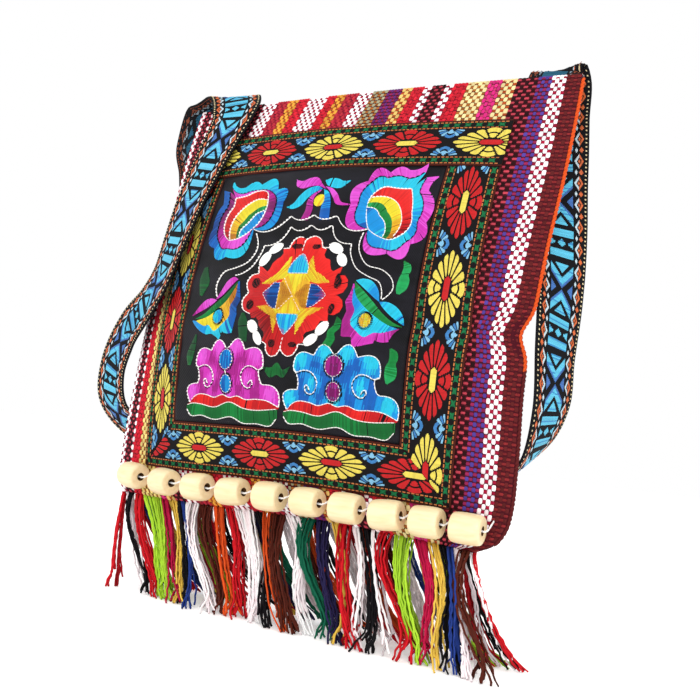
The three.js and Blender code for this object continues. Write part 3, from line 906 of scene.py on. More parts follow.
def ribbon_bow(needle):
    """Six curved leaves from one knot, and an oval under them."""
    leaf(needle, [(-13, 70.5), (-8, 69.5), (-3, 71.5), (2, 71.5), (7, 67), (11, 63.5)],
         [(-13, 70.5), (-11, 66), (-6, 64.5), (0, 66), (5, 65.7), (11, 63.5)], pick(ROSE, 0, 0, 1, 1))
    leaf(needle, [(-13, 52), (-8.5, 55), (-6, 59.5), (-2, 64), (4, 65.7), (8.5, 63.7)],
         [(-13, 52), (-8, 51), (-3, 53), (0, 57.5), (4, 61.5), (8.5, 63.7)], pick(SKY, 0, 0, 0, 1))
    leaf(needle, [(8.5, 63), (3.5, 60.5), (1, 56), (1.6, 50), (0.2, 44)],
         [(8.5, 63), (5.4, 59.5), (5, 56), (6.6, 50), (5.5, 44)], pick(ROSE, 0, 1, 2, 2))
    leaf(needle, [(9.5, 63.5), (11.8, 58), (12, 53), (12.6, 48), (13.6, 44)],
         [(9.5, 63.5), (14, 61), (17, 55.5), (18.6, 50), (20, 44)], pick(SKY, 0, 1, 2, 2))
    leaf(needle, [(10, 65), (15, 63.8), (20, 60), (24, 55), (31, 53.4)],
         [(10, 65), (14, 62), (18, 57.5), (22, 53.2), (31, 52.8)], pick(ROSE, 0, 0, 1, 1))
    leaf(needle, [(8.5, 69), (12, 70.4), (17, 69.8), (21, 68.2), (26, 68.3)],
         [(8.5, 69), (11, 66), (15, 64.2), (21, 63.8), (26, 68.3)], pick(SKY, 0, 0, 0))
    needle.patch(ellipse((9.3, 56), (3.6, 3.9)), 70, SUN[:1] * 3 + SUN[1:2], base=0.2)


def arches(needle):
    """Double white scallops over the middle, with tails down to the butterflies."""
    outer = [(-34, 39, -.2), (-7, 46.2, -.17), (9.5, 46.5, -.17), (25, 46.2, -.2), (46.5, 38, 0)]
    needle.line(arcs(outer))
    inner = [(-20.5, 28, -.22), (-4.5, 39.5, -.22), (10, 40.5, -.24), (24, 40.5, -.22), (39, 29, 0)]
    needle.line(arcs(inner))
    for tail in (
        [(-30, 36), (-26.5, 30), (-26.3, 24), (-31, 18), (-40, 14.8), (-49, 12.6), (-53.5, 7), (-54, 2),
         (-51.5, -3)],
        [(-20.5, 28), (-21.5, 23), (-26, 15.5), (-33, 11.2), (-39, 10)],
        [(44.5, 36), (43.5, 30), (45, 24), (51, 17), (60, 14.8), (66, 10.5), (68, 5), (66, 1), (63, -1.8)],
        [(39, 29), (39.8, 23), (45, 15), (53, 10.6), (59.5, 8), (62, 3), (62.5, -1.5)],
    ):
        needle.line(smooth(tail))


# Red body of the medallion, clockwise from the notch at its top, and the dark eyes of its scrolls
ROSETTE = [
    (8.7, 31), (11, 32.6), (14.5, 33.6), (18, 32.5), (20.4, 29.7), (21, 26.6), (24, 25.8), (23.4, 22.5),
    (25, 20.2), (28, 19.4), (28.8, 16.5), (30, 13.6), (32, 12.4), (34, 13.2), (36.6, 15.2), (36, 12),
    (35.2, 9.4), (37, 10.2), (39.6, 10.3), (41.8, 8), (42.2, 4.5), (40.4, 1.2), (37, -.2), (33.5, -.9),
    (38, -1.7), (40.5, -3.8), (41.3, -7), (40, -10), (37.4, -11.8), (35.3, -11.9), (33.4, -11.5), (33.4, -14),
    (34, -17), (31.5, -15.6), (29.5, -15.6), (28.2, -18), (27, -20.6), (24, -21.8), (20.8, -22.8),
    (19.4, -25),
    (20.2, -28.4), (17, -29.6), (16.8, -32), (14.5, -35.4), (11, -37), (7.6, -35.6), (5.3, -32.8), (3, -36.4),
    (-.5, -37.5), (-3.6, -36), (-5, -33), (-4.6, -30.4), (-8, -29.2), (-7, -26), (-7.6, -23.6), (-10, -22),
    (-12.2, -19.8), (-13.2, -17), (-15.6, -15), (-19, -15.5), (-20.4, -13.2), (-23.4, -12.4), (-26.6, -10.8),
    (-28.3, -7.5), (-28, -4.5), (-26.2, -2.4), (-24, -1), (-26.4, 2), (-27.5, 5.5), (-26, 9), (-22.6, 10.7),
    (-19.6, 10.4), (-20.8, 15.2), (-18.4, 14.4), (-16, 12), (-14, 11.6), (-12.2, 13.6), (-11, 17),
    (-8.6, 19.4),
    (-6, 21), (-4.6, 23.4), (-5.4, 25.8), (-1, 26.2), (-.8, 28.6), (1, 31.5), (4, 33.2), (7, 32.6), (8.7, 31),
]
ROSETTE_EYES = [
    ((4.2, 27.2), (3.9, 1.5)), ((17.4, 27), (2.8, 1.6)), ((-20, 5.2), (3, 3)), ((-21.3, -8), (2.8, 2.8)),
    ((-.8, -29.8), (2.4, 2.3)), ((13.4, -30), (2.8, 1.4)),
]
ROSETTE_HOOKS = [
    [(34.4, 3.6), (36.2, 2.7), (38, 4.2), (38.5, 7), (37.3, 9), (36.4, 11), (34.8, 10.6), (34.2, 7)],
    [(33.4, -11), (33.2, -8), (34.6, -6), (36, -6.2), (36.8, -7.6), (36.2, -9.6), (35.2, -11.6)],
]
# White beads on its diagonals: centre, half length and width, and turn
ROSETTE_BEADS = [
    (-11, 26, 5, 2.8, 25), (-17.4, 19.6, 5, 3.2, 50), (30, 26.3, 4.9, 2.9, -25), (35.3, 19.6, 4.2, 2.8, -55),
    (31, -20, 4.8, 2.9, 48), (24.6, -26.8, 4.8, 2.8, 32), (-17, -20.5, 4.6, 3.2, -35),
    (-12, -27, 4.6, 2.7, -52),
]
# Star in its middle: outlines, direction of the stitches, and colours
STAR = [
    ([(2.2, 21.8), (2.6, 16), (2, 11), (4, 10), (0, 7.6), (-4, 6.6), (-9, 4.4), (-15.6, 4.6), (-9.5, 8.4),
      (-5, 11),
      (-3, 14)], 45, SUN[:1] * 3 + SUN[1:2]),
    ([(17, 21.8), (14.9, 17), (15.6, 11), (14, 10), (15.4, 6.6), (19, 6), (24, 5), (31.4, 6), (25.5, 10),
      (20.8, 12.2), (19.2, 16)], -45, SUN[:1] * 3 + SUN[1:2]),
    ([(-15.6, -9), (-9, -8), (-4, -10), (2, -10.5), (0, -13), (.9, -17), (-.4, -24.4), (-2.6, -19),
      (-4.2, -14.4),
      (-9, -12.4)], -45, SUN[1:2] * 3 + SUN[:1]),
    ([(14.2, -24.6), (13.4, -17), (13.6, -11), (18, -9.5), (23, -8.6), (30, -8.4), (24.5, -12), (20, -14.2),
      (18, -18)], 45, SUN[:1] * 3 + SUN[1:2]),
    ([(2.5, 10.6), (15.6, 10.6), (9.2, -1.8)], 90, SUN[:1] * 5 + SUN[1:2]),
    ([(.4, -12.8), (14.6, -12.8), (8.6, -2.8)], 90, SUN[:1] * 5 + SUN[1:2]),
    ([(-1.4, 5.6), (1, 5.6), (9, -2.2), (1.2, -9.8), (-1.4, -9.8)], 0, SUN[2:]),
    ([(10, -2), (15.6, 4.6), (19.2, 4.6), (19.2, -8.8), (16, -9)], 0, SUN[2:]),
    ([(2.2, 11), (2.3, 14.5), (4, 18), (7, 21.5), (9.3, 22.9), (11.2, 22), (13.5, 18.5), (15.7, 15),
      (15.6, 11)], 90,
     SKY[:1] * 3 + SKY[1:2]),
    ([(.5, -13), (14.5, -13), (14.8, -15.5), (12.5, -19), (9.5, -22.5), (7, -25), (5, -23), (2, -18.5),
      (.7, -15.5)],
     90, SKY[:1] + SKY[1:2] * 3),
    ([(-1.5, 5.2), (-6, 5.5), (-9, 2.6), (-13.6, -1), (-11, -4), (-7.5, -8), (-4, -9.8), (-1.6, -10)], 0,
     SKY[2:3] + SKY[3:] * 2),
    ([(19.3, 4.8), (23, 4.8), (27, 2), (30.6, -1.5), (27, -4.5), (23.5, -8), (19.3, -8.8)], 0,
     SKY[2:3] + SKY[3:] * 2),
]
STAR_GROUND = [(-1.4, 5.6), (2.5, 10.6), (15.6, 10.6), (19.2, 4.6), (19.2, -8.8), (14.6, -12.8), (.4, -12.8),
               (-1.4, -9.8)]


# White lines: stretches of the rosette's outline, and short lines over it and its star
ROSETTE_EDGES = ((0, 7), (46, 53), (60, 73), (81, 87), (41, 47))
ROSETTE_LINES = [
    [(-5.4, 25.8), (-1, 26.2)], [(21, 26.6), (26, 26.3)], [(8.7, 31), (8.2, 24)],
    [(5.3, -32.8), (6.6, -26)], [(17, -29.6), (21, -29.6)], [(.4, 8.2), (16.4, -12.4)],
    [(0, -10.6), (9, -2.2)],
]
ROSETTE_MIDDLE = np.array([8.4, -1.8])


def medallion(needle):
    """A red scrolled rosette with white beads on its diagonals and a star in its middle."""
    outline = np.array(ROSETTE, float)
    inner = ROSETTE_MIDDLE + (outline - ROSETTE_MIDDLE) * 0.4
    needle.band(outline, inner, pick(FIRE, 0, 0, 0, 0, 0, 0, 1, 1, 2, 1, 1, 0, 0, 0))
    for eye in [*(ellipse(*row) for row in ROSETTE_EYES), *(smooth(row, True) for row in ROSETTE_HOOKS)]:
        needle.patch(eye, 0, ("satin",), base=0.95, height=0.08)
    for x, y, long, wide, turn in ROSETTE_BEADS:
        bead = ellipse((0, 0), (long, wide)) @ rotation(turn)
        needle.patch(bead + (x, y), turn + 90, ("silk",), base=0.3)
    needle.patch(np.array(STAR_GROUND, float), 90, SUN[1:2], base=0.5, longest=26)
    for outline, angle, shades in STAR:
        needle.patch(np.array(outline, float), angle, shades, base=0.75, longest=22)
    for first, last in ROSETTE_EDGES:
        needle.line(np.array(ROSETTE[first:last], float))
    for line in ROSETTE_LINES:
        needle.line(np.array(line, float))
    for outline, _, _ in STAR[-4:]:
        needle.line(np.array([*outline, outline[0]], float))


def rotation(degrees):
    """Turns row vectors anticlockwise."""
    a = math.radians(degrees)
    return np.array([[math.cos(a), math.sin(a)], [-math.sin(a), math.cos(a)]])


def left_butterfly(needle):
    leaf(needle, [(-72.5, -14.5), (-67, -8.5), (-60.5, -4.4), (-55, -4), (-51.5, -5)],
         [(-72.5, -14.5), (-66, -12), (-60, -9.8), (-55, -7.4), (-51.5, -5)], pick(ROSE, 2, 1, 0, 0))
    leaf(needle, [(-52, -4.6), (-49, 1), (-45, 6.5), (-40, 9), (-36, 7.6)],
         [(-52, -4.6), (-48, -2.4), (-44, 1), (-40, 4.4), (-36, 7.6)], pick(ROSE, 1, 0, 0, 1))
    leaf(needle, [(-69, -16.4), (-60, -12.4), (-52, -7), (-44, -1), (-34.5, 6.6)],
         [(-69, -16.4), (-58, -15), (-50, -11), (-42, -4.6), (-34.5, 6.6)], pick(GRASS, 1, 1, 2, 2))
    edge = arcs([(-71.5, -17.5, -.08), (-56, -25.6, .12), (-43.5, -28.6, 0), (-41.5, -23.6, -.1),
                 (-33.5, -24.6, 0),
                 (-31.6, -14, 0), (-33, -9.6, 0), (-30.4, -5, 0), (-34, 6.2, 0)])
    inner = smooth([(-67, -18), (-60, -20.4), (-55, -20), (-49, -23.6), (-42, -19), (-37.6, -14.5),
                    (-38.5, -8.5), (-35.4, -3), (-35, 5)])
    needle.band(edge, inner, pick(SKY, 1, 1, 0, 0, 2, 3, 2))
    green = smooth([(-67, -17), (-58, -15), (-50, -11), (-42, -4.6), (-35, 5)])
    needle.band(inner, green, pick(SUN, 0, 0, 0, 1, 2, 2))
    spotted(needle, (-47, -15), (3.9, 4.1), SKY[:2])


def right_butterfly(needle):
    leaf(needle, [(46.5, 8), (51, 9.2), (56, 8), (60, 3.4), (61.6, -3)],
         [(46.5, 8), (51, 4.6), (55, 1.6), (58.5, -1), (61.6, -3)], pick(SKY, 0, 0, 1, 1))
    leaf(needle, [(61.6, -3), (67, -3), (72, -5.6), (75.4, -10), (76.6, -15)],
         [(61.6, -3), (64, -6), (68, -9.6), (72, -12.4), (76.6, -15)], pick(SKY, 1, 0, 0, 1))
    leaf(needle, [(46, 7.4), (52, 2.4), (58, -3), (64, -9), (70, -13.4), (76, -16)],
         [(46, 7.4), (48.5, -1), (54, -6.6), (61, -11.6), (68, -15.4), (76, -16)], pick(GRASS, 1, 0, 1, 1))
    edge = arcs([(45.6, 6, .06), (42.4, -4, 0), (44, -9.6, 0), (42.4, -15, 0), (43, -23.6, 0), (49, -23.4, 0),
                 (50, -29, 0), (61.5, -26, 0), (62, -24, -.1), (70, -24.6, .1), (74.4, -17.6, 0)])
    inner = smooth([(46.2, 4), (46.6, -4), (48.6, -9), (47, -15.6), (51, -20), (56, -23), (61, -20.4),
                    (66, -20),
                    (74, -17.2)])
    needle.band(edge, inner, pick(ROSE, 1, 2, 2, 1, 1, 2))
    green = smooth([(46.2, 4), (48.5, -1), (54, -6.6), (61, -11.6), (68, -15.4), (74, -17.2)])
    needle.band(inner, green, pick(SKY, 1, 1, 0, 0, 1))
    spotted(needle, (55.3, -14), (3.2, 4), SUN[:2])


def spotted(needle, centre, radii, shades):
    """An oval eye in a dark ring."""
    needle.patch(ellipse(centre, (radii[0] + 1.2, radii[1] + 1.2)), 90, ("satin",), base=0.75, height=0.1)
    needle.patch(ellipse(centre, radii), 90, shades, base=0.85)


# One cloud from the middle of its foot: outline, wavy seams, foot and the scrolls' lines
CLOUD = [(-30, -.5, .5), (-23.5, 11.3, -.1), (-24.5, 20, -.15), (-26.8, 22.2, .4), (-14, 30.6, .5),
         (-2, 32, 0),
         (0, 32.6, .5), (12.3, 31.7, .4), (25.8, 22, -.15), (22.8, 20.3, -.08), (25.5, 12.3, .35),
         (37, .5, 0)]
CLOUD_SEAM = [(-30, -.5), (-27, 3.2), (-22, 5.2), (-15, 4.8), (-9.5, 3.6), (-3, 5.6), (2, 4), (8, 5.2),
              (14, 3.4),
              (21, 4), (29, 3.6), (37, .5)]
CLOUD_FOOT = [(-32.5, -1.6), (-28, -.5), (-20, -.8), (-9, -2), (2, 1.5), (12, -1.6), (22, -2.2), (35.5, -.6)]
CLOUD_SOLE = [(-32.5, -4), (-29, -8), (-20, -7.3), (-9, -9.2), (3, -7), (12, -10.2), (22, -9.8),
              (31, -10.5), (35.5, -6)]
CLOUD_SCROLLS = [
    [(-26.8, 22.2), (-24.4, 20.6), (-21.8, 22), (-16.4, 22.1), (-12, 18.8), (-11, 14), (-13.6, 9.8),
     (-17.2, 9.8),
     (-18.8, 12.6), (-18.2, 14.6), (-16.8, 14), (-15.8, 11.6)],
    [(25.8, 22), (22.6, 20.6), (18.1, 22.6), (13.3, 22.2), (10.4, 17.8), (11.7, 12.7), (15.4, 10),
     (18.6, 11.6),
     (18.4, 14.8), (16.6, 14.2), (15.8, 12)],
]
CLOUD_LIGHTS = [(-8, 32), (-22, 27), (6, 33), (20, 29), (-28, 6), (31, 7), (-15, 15), (15, 16), (0, 8)]
CLOUD_DARKS = [(-5, 20), (5, 20), (-13, 26), (11, 27), (-22, 17), (22, 17), (-20, 8), (21, 8), (-9, 10),
               (9, 10)]


def cloud(needle, foot, wide, body, ovals):
    """A cloud of scrolled lobes on a red band and a green foot."""

    def put(points):
        return np.asarray(points, float) * (wide, 1) + foot

    outline = put(arcs(CLOUD))
    seam = put(smooth(CLOUD_SEAM))
    starts, ends = split(*fill(np.concatenate([outline, seam[::-1]]), 82), 6.5)
    place = ((starts + ends) / 2 - foot) / (wide, 1)
    level = 1 + chance.normal(0, 0.1, len(starts))
    for spots, change in ((CLOUD_LIGHTS, -1.3), (CLOUD_DARKS, 1.2)):
        for spot in spots:
            level += change * bell(np.linalg.norm(place - spot, axis=1), 4.5)
    shade = np.clip(np.rint(level), 0, 2).astype(int)
    lay(needle.heap, on_panel, starts, ends, varied([body[k] for k in shade]), height=0.6)
    needle.band(seam, put(smooth(CLOUD_FOOT)), pick(FIRE, 1, 0, 1, 1, 0, 1, 1))
    needle.band(put(smooth(CLOUD_FOOT)), put(smooth(CLOUD_SOLE)), pick(GRASS, 2, 1, 2, 2, 1, 2, 2, 2))
    for line in (outline, seam, put(smooth(CLOUD_FOOT)), put(smooth(CLOUD_SOLE))):
        needle.line(line)
    for scroll in CLOUD_SCROLLS:
        curve = put(smooth(scroll))
        needle.line(curve - (0, 0.7), "satin", 3, 0.6)
        needle.line(curve, width=0.7)
    for centre, radii in (((-1.3, 26), (5.2, 5.8)), ((-.5, 12), (4.2, 5.3))):
        oval = ellipse(put(centre), radii)
        needle.patch(ellipse(put(centre), np.array(radii) + 1.3), 90, ("satin",), base=0.6, height=0.1)
        needle.patch(oval, 90, ovals, base=0.75, longest=14)
        needle.line(np.concatenate([oval, oval[:1]]))
    needle.line(put([(-1.2, 20.4), (-.8, 17.4)]))


def green_leaves(needle):
    for side_a, side_b, shades in (
        ([(-71, 15.6), (-72.5, 9), (-71, 4), (-69, -1)], [(-67, 16), (-64.4, 11), (-62, 6), (-66, -1.6)],
         (3, 3, 2)),
        ([(-67, -26), (-70.6, -32), (-73, -38), (-71, -43.6)],
         [(-65.6, -26), (-65, -32), (-66, -38), (-68, -43.6)],
         (3, 3, 2)),
        ([(-27.5, -13), (-29, -18), (-27.6, -24), (-26, -29)],
         [(-25, -13), (-21.6, -18), (-20.6, -24), (-20, -29)],
         (3, 3, 3)),
        ([(71, 20), (71.6, 16.6), (71, 13), (70, 9.4), (69.6, 5), (70.4, 2)],
         [(71.8, 20.2), (75, 18.6), (75.8, 15.6), (75, 12.8), (76, 9.6), (75.2, 5), (71.6, 1.8)], (1, 0, 0)),
        ([(71.4, -28), (71.8, -31.6), (71.6, -35), (70.2, -38), (70, -42), (71, -46)],
         [(72.2, -27.8), (75.6, -29.6), (76.4, -33), (75.6, -36), (76.6, -39.6), (76, -43.6),
          (72.4, -46.6)], (1, 1, 0)),
        ([(38.8, -13.5), (37.8, -18), (34.8, -21.4), (34.6, -25), (32.4, -28.8)],
         [(39.6, -13.2), (42, -15.4), (41.6, -19), (39, -22), (39.6, -25.4), (37.6, -29.4)], (2, 1, 1)),
        ([(-5.4, -43.4), (0, -43.4), (4, -40.6), (7.6, -44.4), (12.4, -42.4)],
         [(-5.4, -44.4), (-1, -49), (4, -47.4), (8.6, -48.6), (12.4, -42.8)], (2, 2, 3)),
    ):
        leaf(needle, side_a, side_b, pick(GRASS, *shades))


def make_panel():
    panel_ground()
    needle = Needle()
    flower(needle, LEFT_FLOWER, (0, 0), SKY, ROSE, ((0, 0, 0, 0, 1, 2, 1, 1), (2, 2, 3, 2, 1, 0, 0, 1),
                                                   (1, 0, 0, 1, 2, 3, 2, 2), (2, 3, 3, 2, 1, 0, 0, 1)))
    flower(needle, RIGHT_FLOWER, (46.5, 38), ROSE, SKY, ((1, 1, 0, 1, 0, 0), (0, 0, 1, 0, 0, 1),
                                                         (2, 1, 1, 0, 0, 0), (0, 0, 1, 0, 1, 1)))
    ribbon_bow(needle)
    arches(needle)
    medallion(needle)
    left_butterfly(needle)
    right_butterfly(needle)
    cloud(needle, (-33.5, -66), 1.07, ROSE[:3], SKY[1:3])
    cloud(needle, (42, -66), 1.0, SKY[:3], ROSE[2:])
    green_leaves(needle)
    needle.heap.piece("embroidery_stitches", "black_cloth")


# Flower ribbons
RIBBON_HALF = FRAME["ribbon"] / 2
INSIDE = FRAME["half"] - RIBBON_HALF
RIBBON_ROWS = {"dash_out": 13.1, "check": 11.3, "dash_in": 9.5, "field": 9.0}
FLOWER = {"pitch": 49, "half_long": 21, "half_wide": 9.2}
LENS = 1.5
RIBBON_LOW = FRAME["bottom"] + RIBBON_HALF
RIBBON_HIGH = FRAME["top"] - RIBBON_HALF
SIDE_TOP = FRAME["top"] - FRAME["ribbon"] - PIECE_GAP
RIBBON_WAVE = {"height": 0.12, "along": 9.5, "across": 6}
# How far below the face of its solid a woven pattern starts
GROUND_DROP = 0.15
KNOT_PITCH = 6.4
DASH = {"pitch": 2.5, "length": 1.7}


def ribbon_places():
    """For each ribbon: name, way onto the cloth, ends, limits across, and its first flower."""
    half = FRAME["half"]
    sides = (FRAME["bottom"], SIDE_TOP)
    return (
        ("top", lambda a, b: (a, RIBBON_HIGH + b), (-half, half),
         lambda a: (-RIBBON_HALF, RIBBON_HALF), -95, "yellow"),
        ("bottom", lambda a, b: (a, RIBBON_LOW + b), (-half, half),
         lambda a: (-RIBBON_HALF, min(RIBBON_HALF, INSIDE - abs(a))), -106, "red"),
        ("right", lambda a, b: (INSIDE + b, a), sides,
         lambda a: (max(-RIBBON_HALF, RIBBON_LOW - a), RIBBON_HALF), 36, "yellow"),
        ("left", lambda a, b: (b - INSIDE, a), sides,
         lambda a: (-RIBBON_HALF, min(RIBBON_HALF, a - RIBBON_LOW)), 13, "red"),
    )


def on_ribbon(place, a, b, lift=0.0):
    """A place on the face of a ribbon: along it, across it and above it."""
    x, rise = place(a, b)
    swell = RIBBON_WAVE["height"] * np.sin(a / RIBBON_WAVE["along"]) * np.cos(b / RIBBON_WAVE["across"])
    return lifted("front", x, rise, CLOTH_GAP + RIBBON_THICK - GROUND_DROP + swell + lift)


def petal(centre, radii, middle, spread, low=0.32, high=1.0):
    """Outline of one petal of an oval flower: its direction and half spread in degrees."""
    turn = np.radians(middle + spread * np.array([0, 0.8, 1, 0.65, 0, -0.65, -1, -0.8]))
    reach = low + (high - low) * np.array([0, 0.2, 0.88, 0.98, 1, 0.98, 0.88, 0.2])
    size = (np.abs(np.cos(turn)) ** LENS + np.abs(np.sin(turn)) ** LENS) ** (-1 / LENS)
    x = radii[0] * reach * size * np.cos(turn)
    return np.array(centre) + np.stack([x, radii[1] * reach * size * np.sin(turn)], axis=1)


def petal_arch(centre, radii, middle, spreads, low, hollow):
    """Outline of the outer part of a petal: the spreads are those of its outer and inner edge."""
    outer = petal(centre, radii, middle, spreads[0], low, 1.0)
    inner = petal(centre, radii, middle, spreads[1], low, hollow)
    return np.concatenate([outer[2:7], inner[6:1:-1]])


# Petals of a quarter of a flower: direction and half spread in degrees
PETALS = [(0, 7.5), (21, 7.5), (43, 7.7), (64.5, 7.7)]


def petal_flower(colour, centre):
    """Petals and middle of one woven flower, as outlines and colours along the ribbon."""
    radii = FLOWER["half_long"], FLOWER["half_wide"]
    turns = [(sign * turn + half, spread) for turn, spread in PETALS for sign in (-1, 1) for half in (0, 180)
             if turn or sign > 0]
    shapes = [(petal((centre, 0), radii, *row), f"petal_{colour}") for row in turns]
    for turn in (90, 270):
        shapes.append((petal((centre, 0), radii, turn, 11, 0.3, 0.62), f"petal_{colour}"))
        arch = petal_arch((centre, 0), radii, turn, (12.5, 12), 0.3, 0.72)
        shapes.append((arch, f"petal_{colour}"))
    other = "yellow" if colour == "red" else "red"
    heart = np.array([(-6.6, 0), (-5, 1.5), (5, 1.5), (6.6, 0), (5, -1.5), (-5, -1.5)])
    shapes.append((heart + (centre, 0), f"petal_{other}"))
    return shapes


def half_flowers(centre):
    """The pair of blue half flowers that stand on both borders between two flowers."""
    shapes = []
    for side in (-1, 1):
        root = (centre, side * RIBBON_ROWS["field"])
        radii = (7.6, -side * 6.4)
        shapes.append((petal(root, radii, 90, 30, 0.05, 0.55), "petal_pale"))
        shapes.append((petal_arch(root, radii, 90, (30, 29), 0.1, 0.74), "petal_blue"))
        for turn, spread, colour in ((50, 7, "pale"), (31, 6, "blue"), (14, 5, "pale")):
            for end in (turn, 180 - turn):
                shapes.append((petal(root, radii, end, spread, 0.42, 1.06), f"petal_{colour}"))
    return shapes


def check_star(centre, across):
    """One green knot of the checked border."""
    reach = np.array([2.5, 0.95] * 4)
    turn = np.arange(8) * np.pi / 4 + np.pi / 4
    star = np.stack([reach * np.cos(turn) * 1.1, reach * np.sin(turn) * 0.75], axis=1)
    return np.array([centre, across]) + star


def clipped(starts, ends, ends_along, limits):
    """Threads across a ribbon, cut where the ribbon ends."""
    kept_starts, kept_ends, kept = [], [], []
    for i, (s, e) in enumerate(zip(starts, ends)):
        if not ends_along[0] + 0.4 < s[0] < ends_along[1] - 0.4:
            continue
        low, high = limits(s[0])
        b0, b1 = sorted((s[1], e[1]))
        b0, b1 = max(b0, low + 0.3), min(b1, high - 0.3)
        if b1 - b0 > 0.25:
            kept_starts.append((s[0], b0))
            kept_ends.append((e[0], b1))
            kept.append(i)
    return np.array(kept_starts), np.array(kept_ends), kept


def ribbon_pattern(heap, surface, ends_along, limits, first, colour):
    def weave_in(outline, name, pitch=0.62):
        starts, ends, kept = clipped(*fill(outline, 90, pitch), ends_along, limits)
        if kept:
            lay(heap, surface, starts, ends, varied([name] * len(kept)), height=0.32, steps=2)

    centre = first
    while centre < ends_along[1] + FLOWER["half_long"]:
        for outline, name in petal_flower(colour, centre):
            weave_in(outline, name)
        for outline, name in half_flowers(centre + FLOWER["pitch"] / 2):
            weave_in(outline, name)
        colour = "red" if colour == "yellow" else "yellow"
        centre += FLOWER["pitch"]
    for side in (-1, 1):
        for at in np.arange(ends_along[0] + 3, ends_along[1], KNOT_PITCH):
            weave_in(check_star(at, side * RIBBON_ROWS["check"]), "leaf", 0.55)
        for row in ("dash_out", "dash_in"):
            at = np.arange(ends_along[0] + 1, ends_along[1] - 1.6, DASH["pitch"])
            level = side * RIBBON_ROWS[row]
            at = np.array([a for a in at if limits(a)[0] < level < limits(a)[1]])
            starts = np.stack([at, np.full_like(at, level)], axis=1)
            names = varied(["dash"] * len(at))
            lay(heap, surface, starts, starts + (DASH["length"], 0), names, width=0.62, height=0.4, steps=2)


def ribbon_ground(name, place, ends_along):
    """The black ribbon with its brown edges, cut square or mitred."""
    right = np.array([4.5, 8.9, 10, 12.4, 13.7, RIBBON_HALF])
    across = np.concatenate([-right[::-1], [0], right])
    along = np.linspace(*ends_along, 81)
    a, b = np.meshgrid(along, across, indexing="ij")
    a = mitred(a, b, name)
    under = lifted("front", *place(a, b), CLOTH_GAP)
    points, faces = slab(under, on_ribbon(place, a, b))
    if name in ("top", "bottom"):
        faces = faces[:, ::-1]
    tints = np.where(np.abs(across[1:] + across[:-1]) / 2 > 13.4, "ribbon_edge", "ribbon")
    names = list(np.tile(tints, len(along) - 1)) * 2
    names += ["ribbon_edge"] * (len(faces) - len(names))
    ground = single(f"ribbon_{name}_band", "flower_ribbon", points, faces, names)
    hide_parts(f"ribbon_{name}")


def mitred(a, b, name):
    """Moves the ends of a ribbon's rows onto its mitre."""
    mitre = PIECE_GAP / 2
    if name == "bottom":
        return a / FRAME["half"] * (INSIDE - b - mitre)
    if name == "top":
        return a
    start = (RIBBON_LOW - b if name == "right" else RIBBON_LOW + b) + mitre
    return start + (a - FRAME["bottom"]) / (SIDE_TOP - FRAME["bottom"]) * (SIDE_TOP - start)


def make_ribbons():
    heap = Heap()
    for name, place, ends_along, limits, first, colour in ribbon_places():
        ribbon_ground(name, place, ends_along)
        heap.flip = name in ("right", "left")
        ribbon_pattern(heap, partial(on_ribbon, place), ends_along, limits, first, colour)
    heap.piece("ribbon_flowers", "flower_ribbon")


# Strap
def catmull(points, per):
    """A centripetal curve through points, with as many steps between each two of them."""
    p = np.concatenate([2 * points[:1] - points[1:2], points, 2 * points[-1:] - points[-2:-1]])
    gaps = np.maximum(np.linalg.norm(np.diff(p, axis=0), axis=1) ** 0.5, 1e-4)
    line = []
    for i in range(len(points) - 1):
        a, b, c, d = p[i:i + 4]
        g0, g1, g2 = gaps[i:i + 3]
        start = ((b - a) / g0 - (c - a) / (g0 + g1) + (c - b) / g1) * g1
        end = ((c - b) / g1 - (d - b) / (g1 + g2) + (d - c) / g2) * g1
        t = np.arange(per)[:, None] / per
        square = 3 * (c - b) - 2 * start - end
        cube = 2 * (b - c) + start + end
        line.append(b + start * t + square * t**2 + cube * t**3)
    return np.concatenate([*line, points[-1:]])


def strap_line():
    """Middle, across and outward directions along the strap, and the length so far."""
    rise = ROUTE[:, 2]
    middles = np.stack([ROUTE[:, 0], middle_plane(rise) + ROUTE[:, 1], HEM_HEIGHT + rise], axis=1)
    middle = catmull(middles, 12)
    across = catmull(ROUTE[:, 3:], 12)
    tangent = unit(np.gradient(middle, axis=0))
    across = unit(across - tangent * (across * tangent).sum(axis=1, keepdims=True))
    outward = np.cross(tangent, across)
    steps = np.linalg.norm(np.diff(middle, axis=0), axis=1)
    return middle, across, outward, np.concatenate([[0], np.cumsum(steps)])


STRAP_LINE = strap_line()
STRAP_LENGTH = STRAP_LINE[3][-1]


def on_strap(a, b, lift):
    """A place on the strap: along it, across it, and above its middle on the patterned side."""
    middle, across, outward, lengths = STRAP_LINE

    def at(values):
        return np.stack([np.interp(a, lengths, values[:, k]) for k in range(3)], axis=-1)

    return at(middle) + at(across) * b[..., None] + at(outward) * lift[..., None]


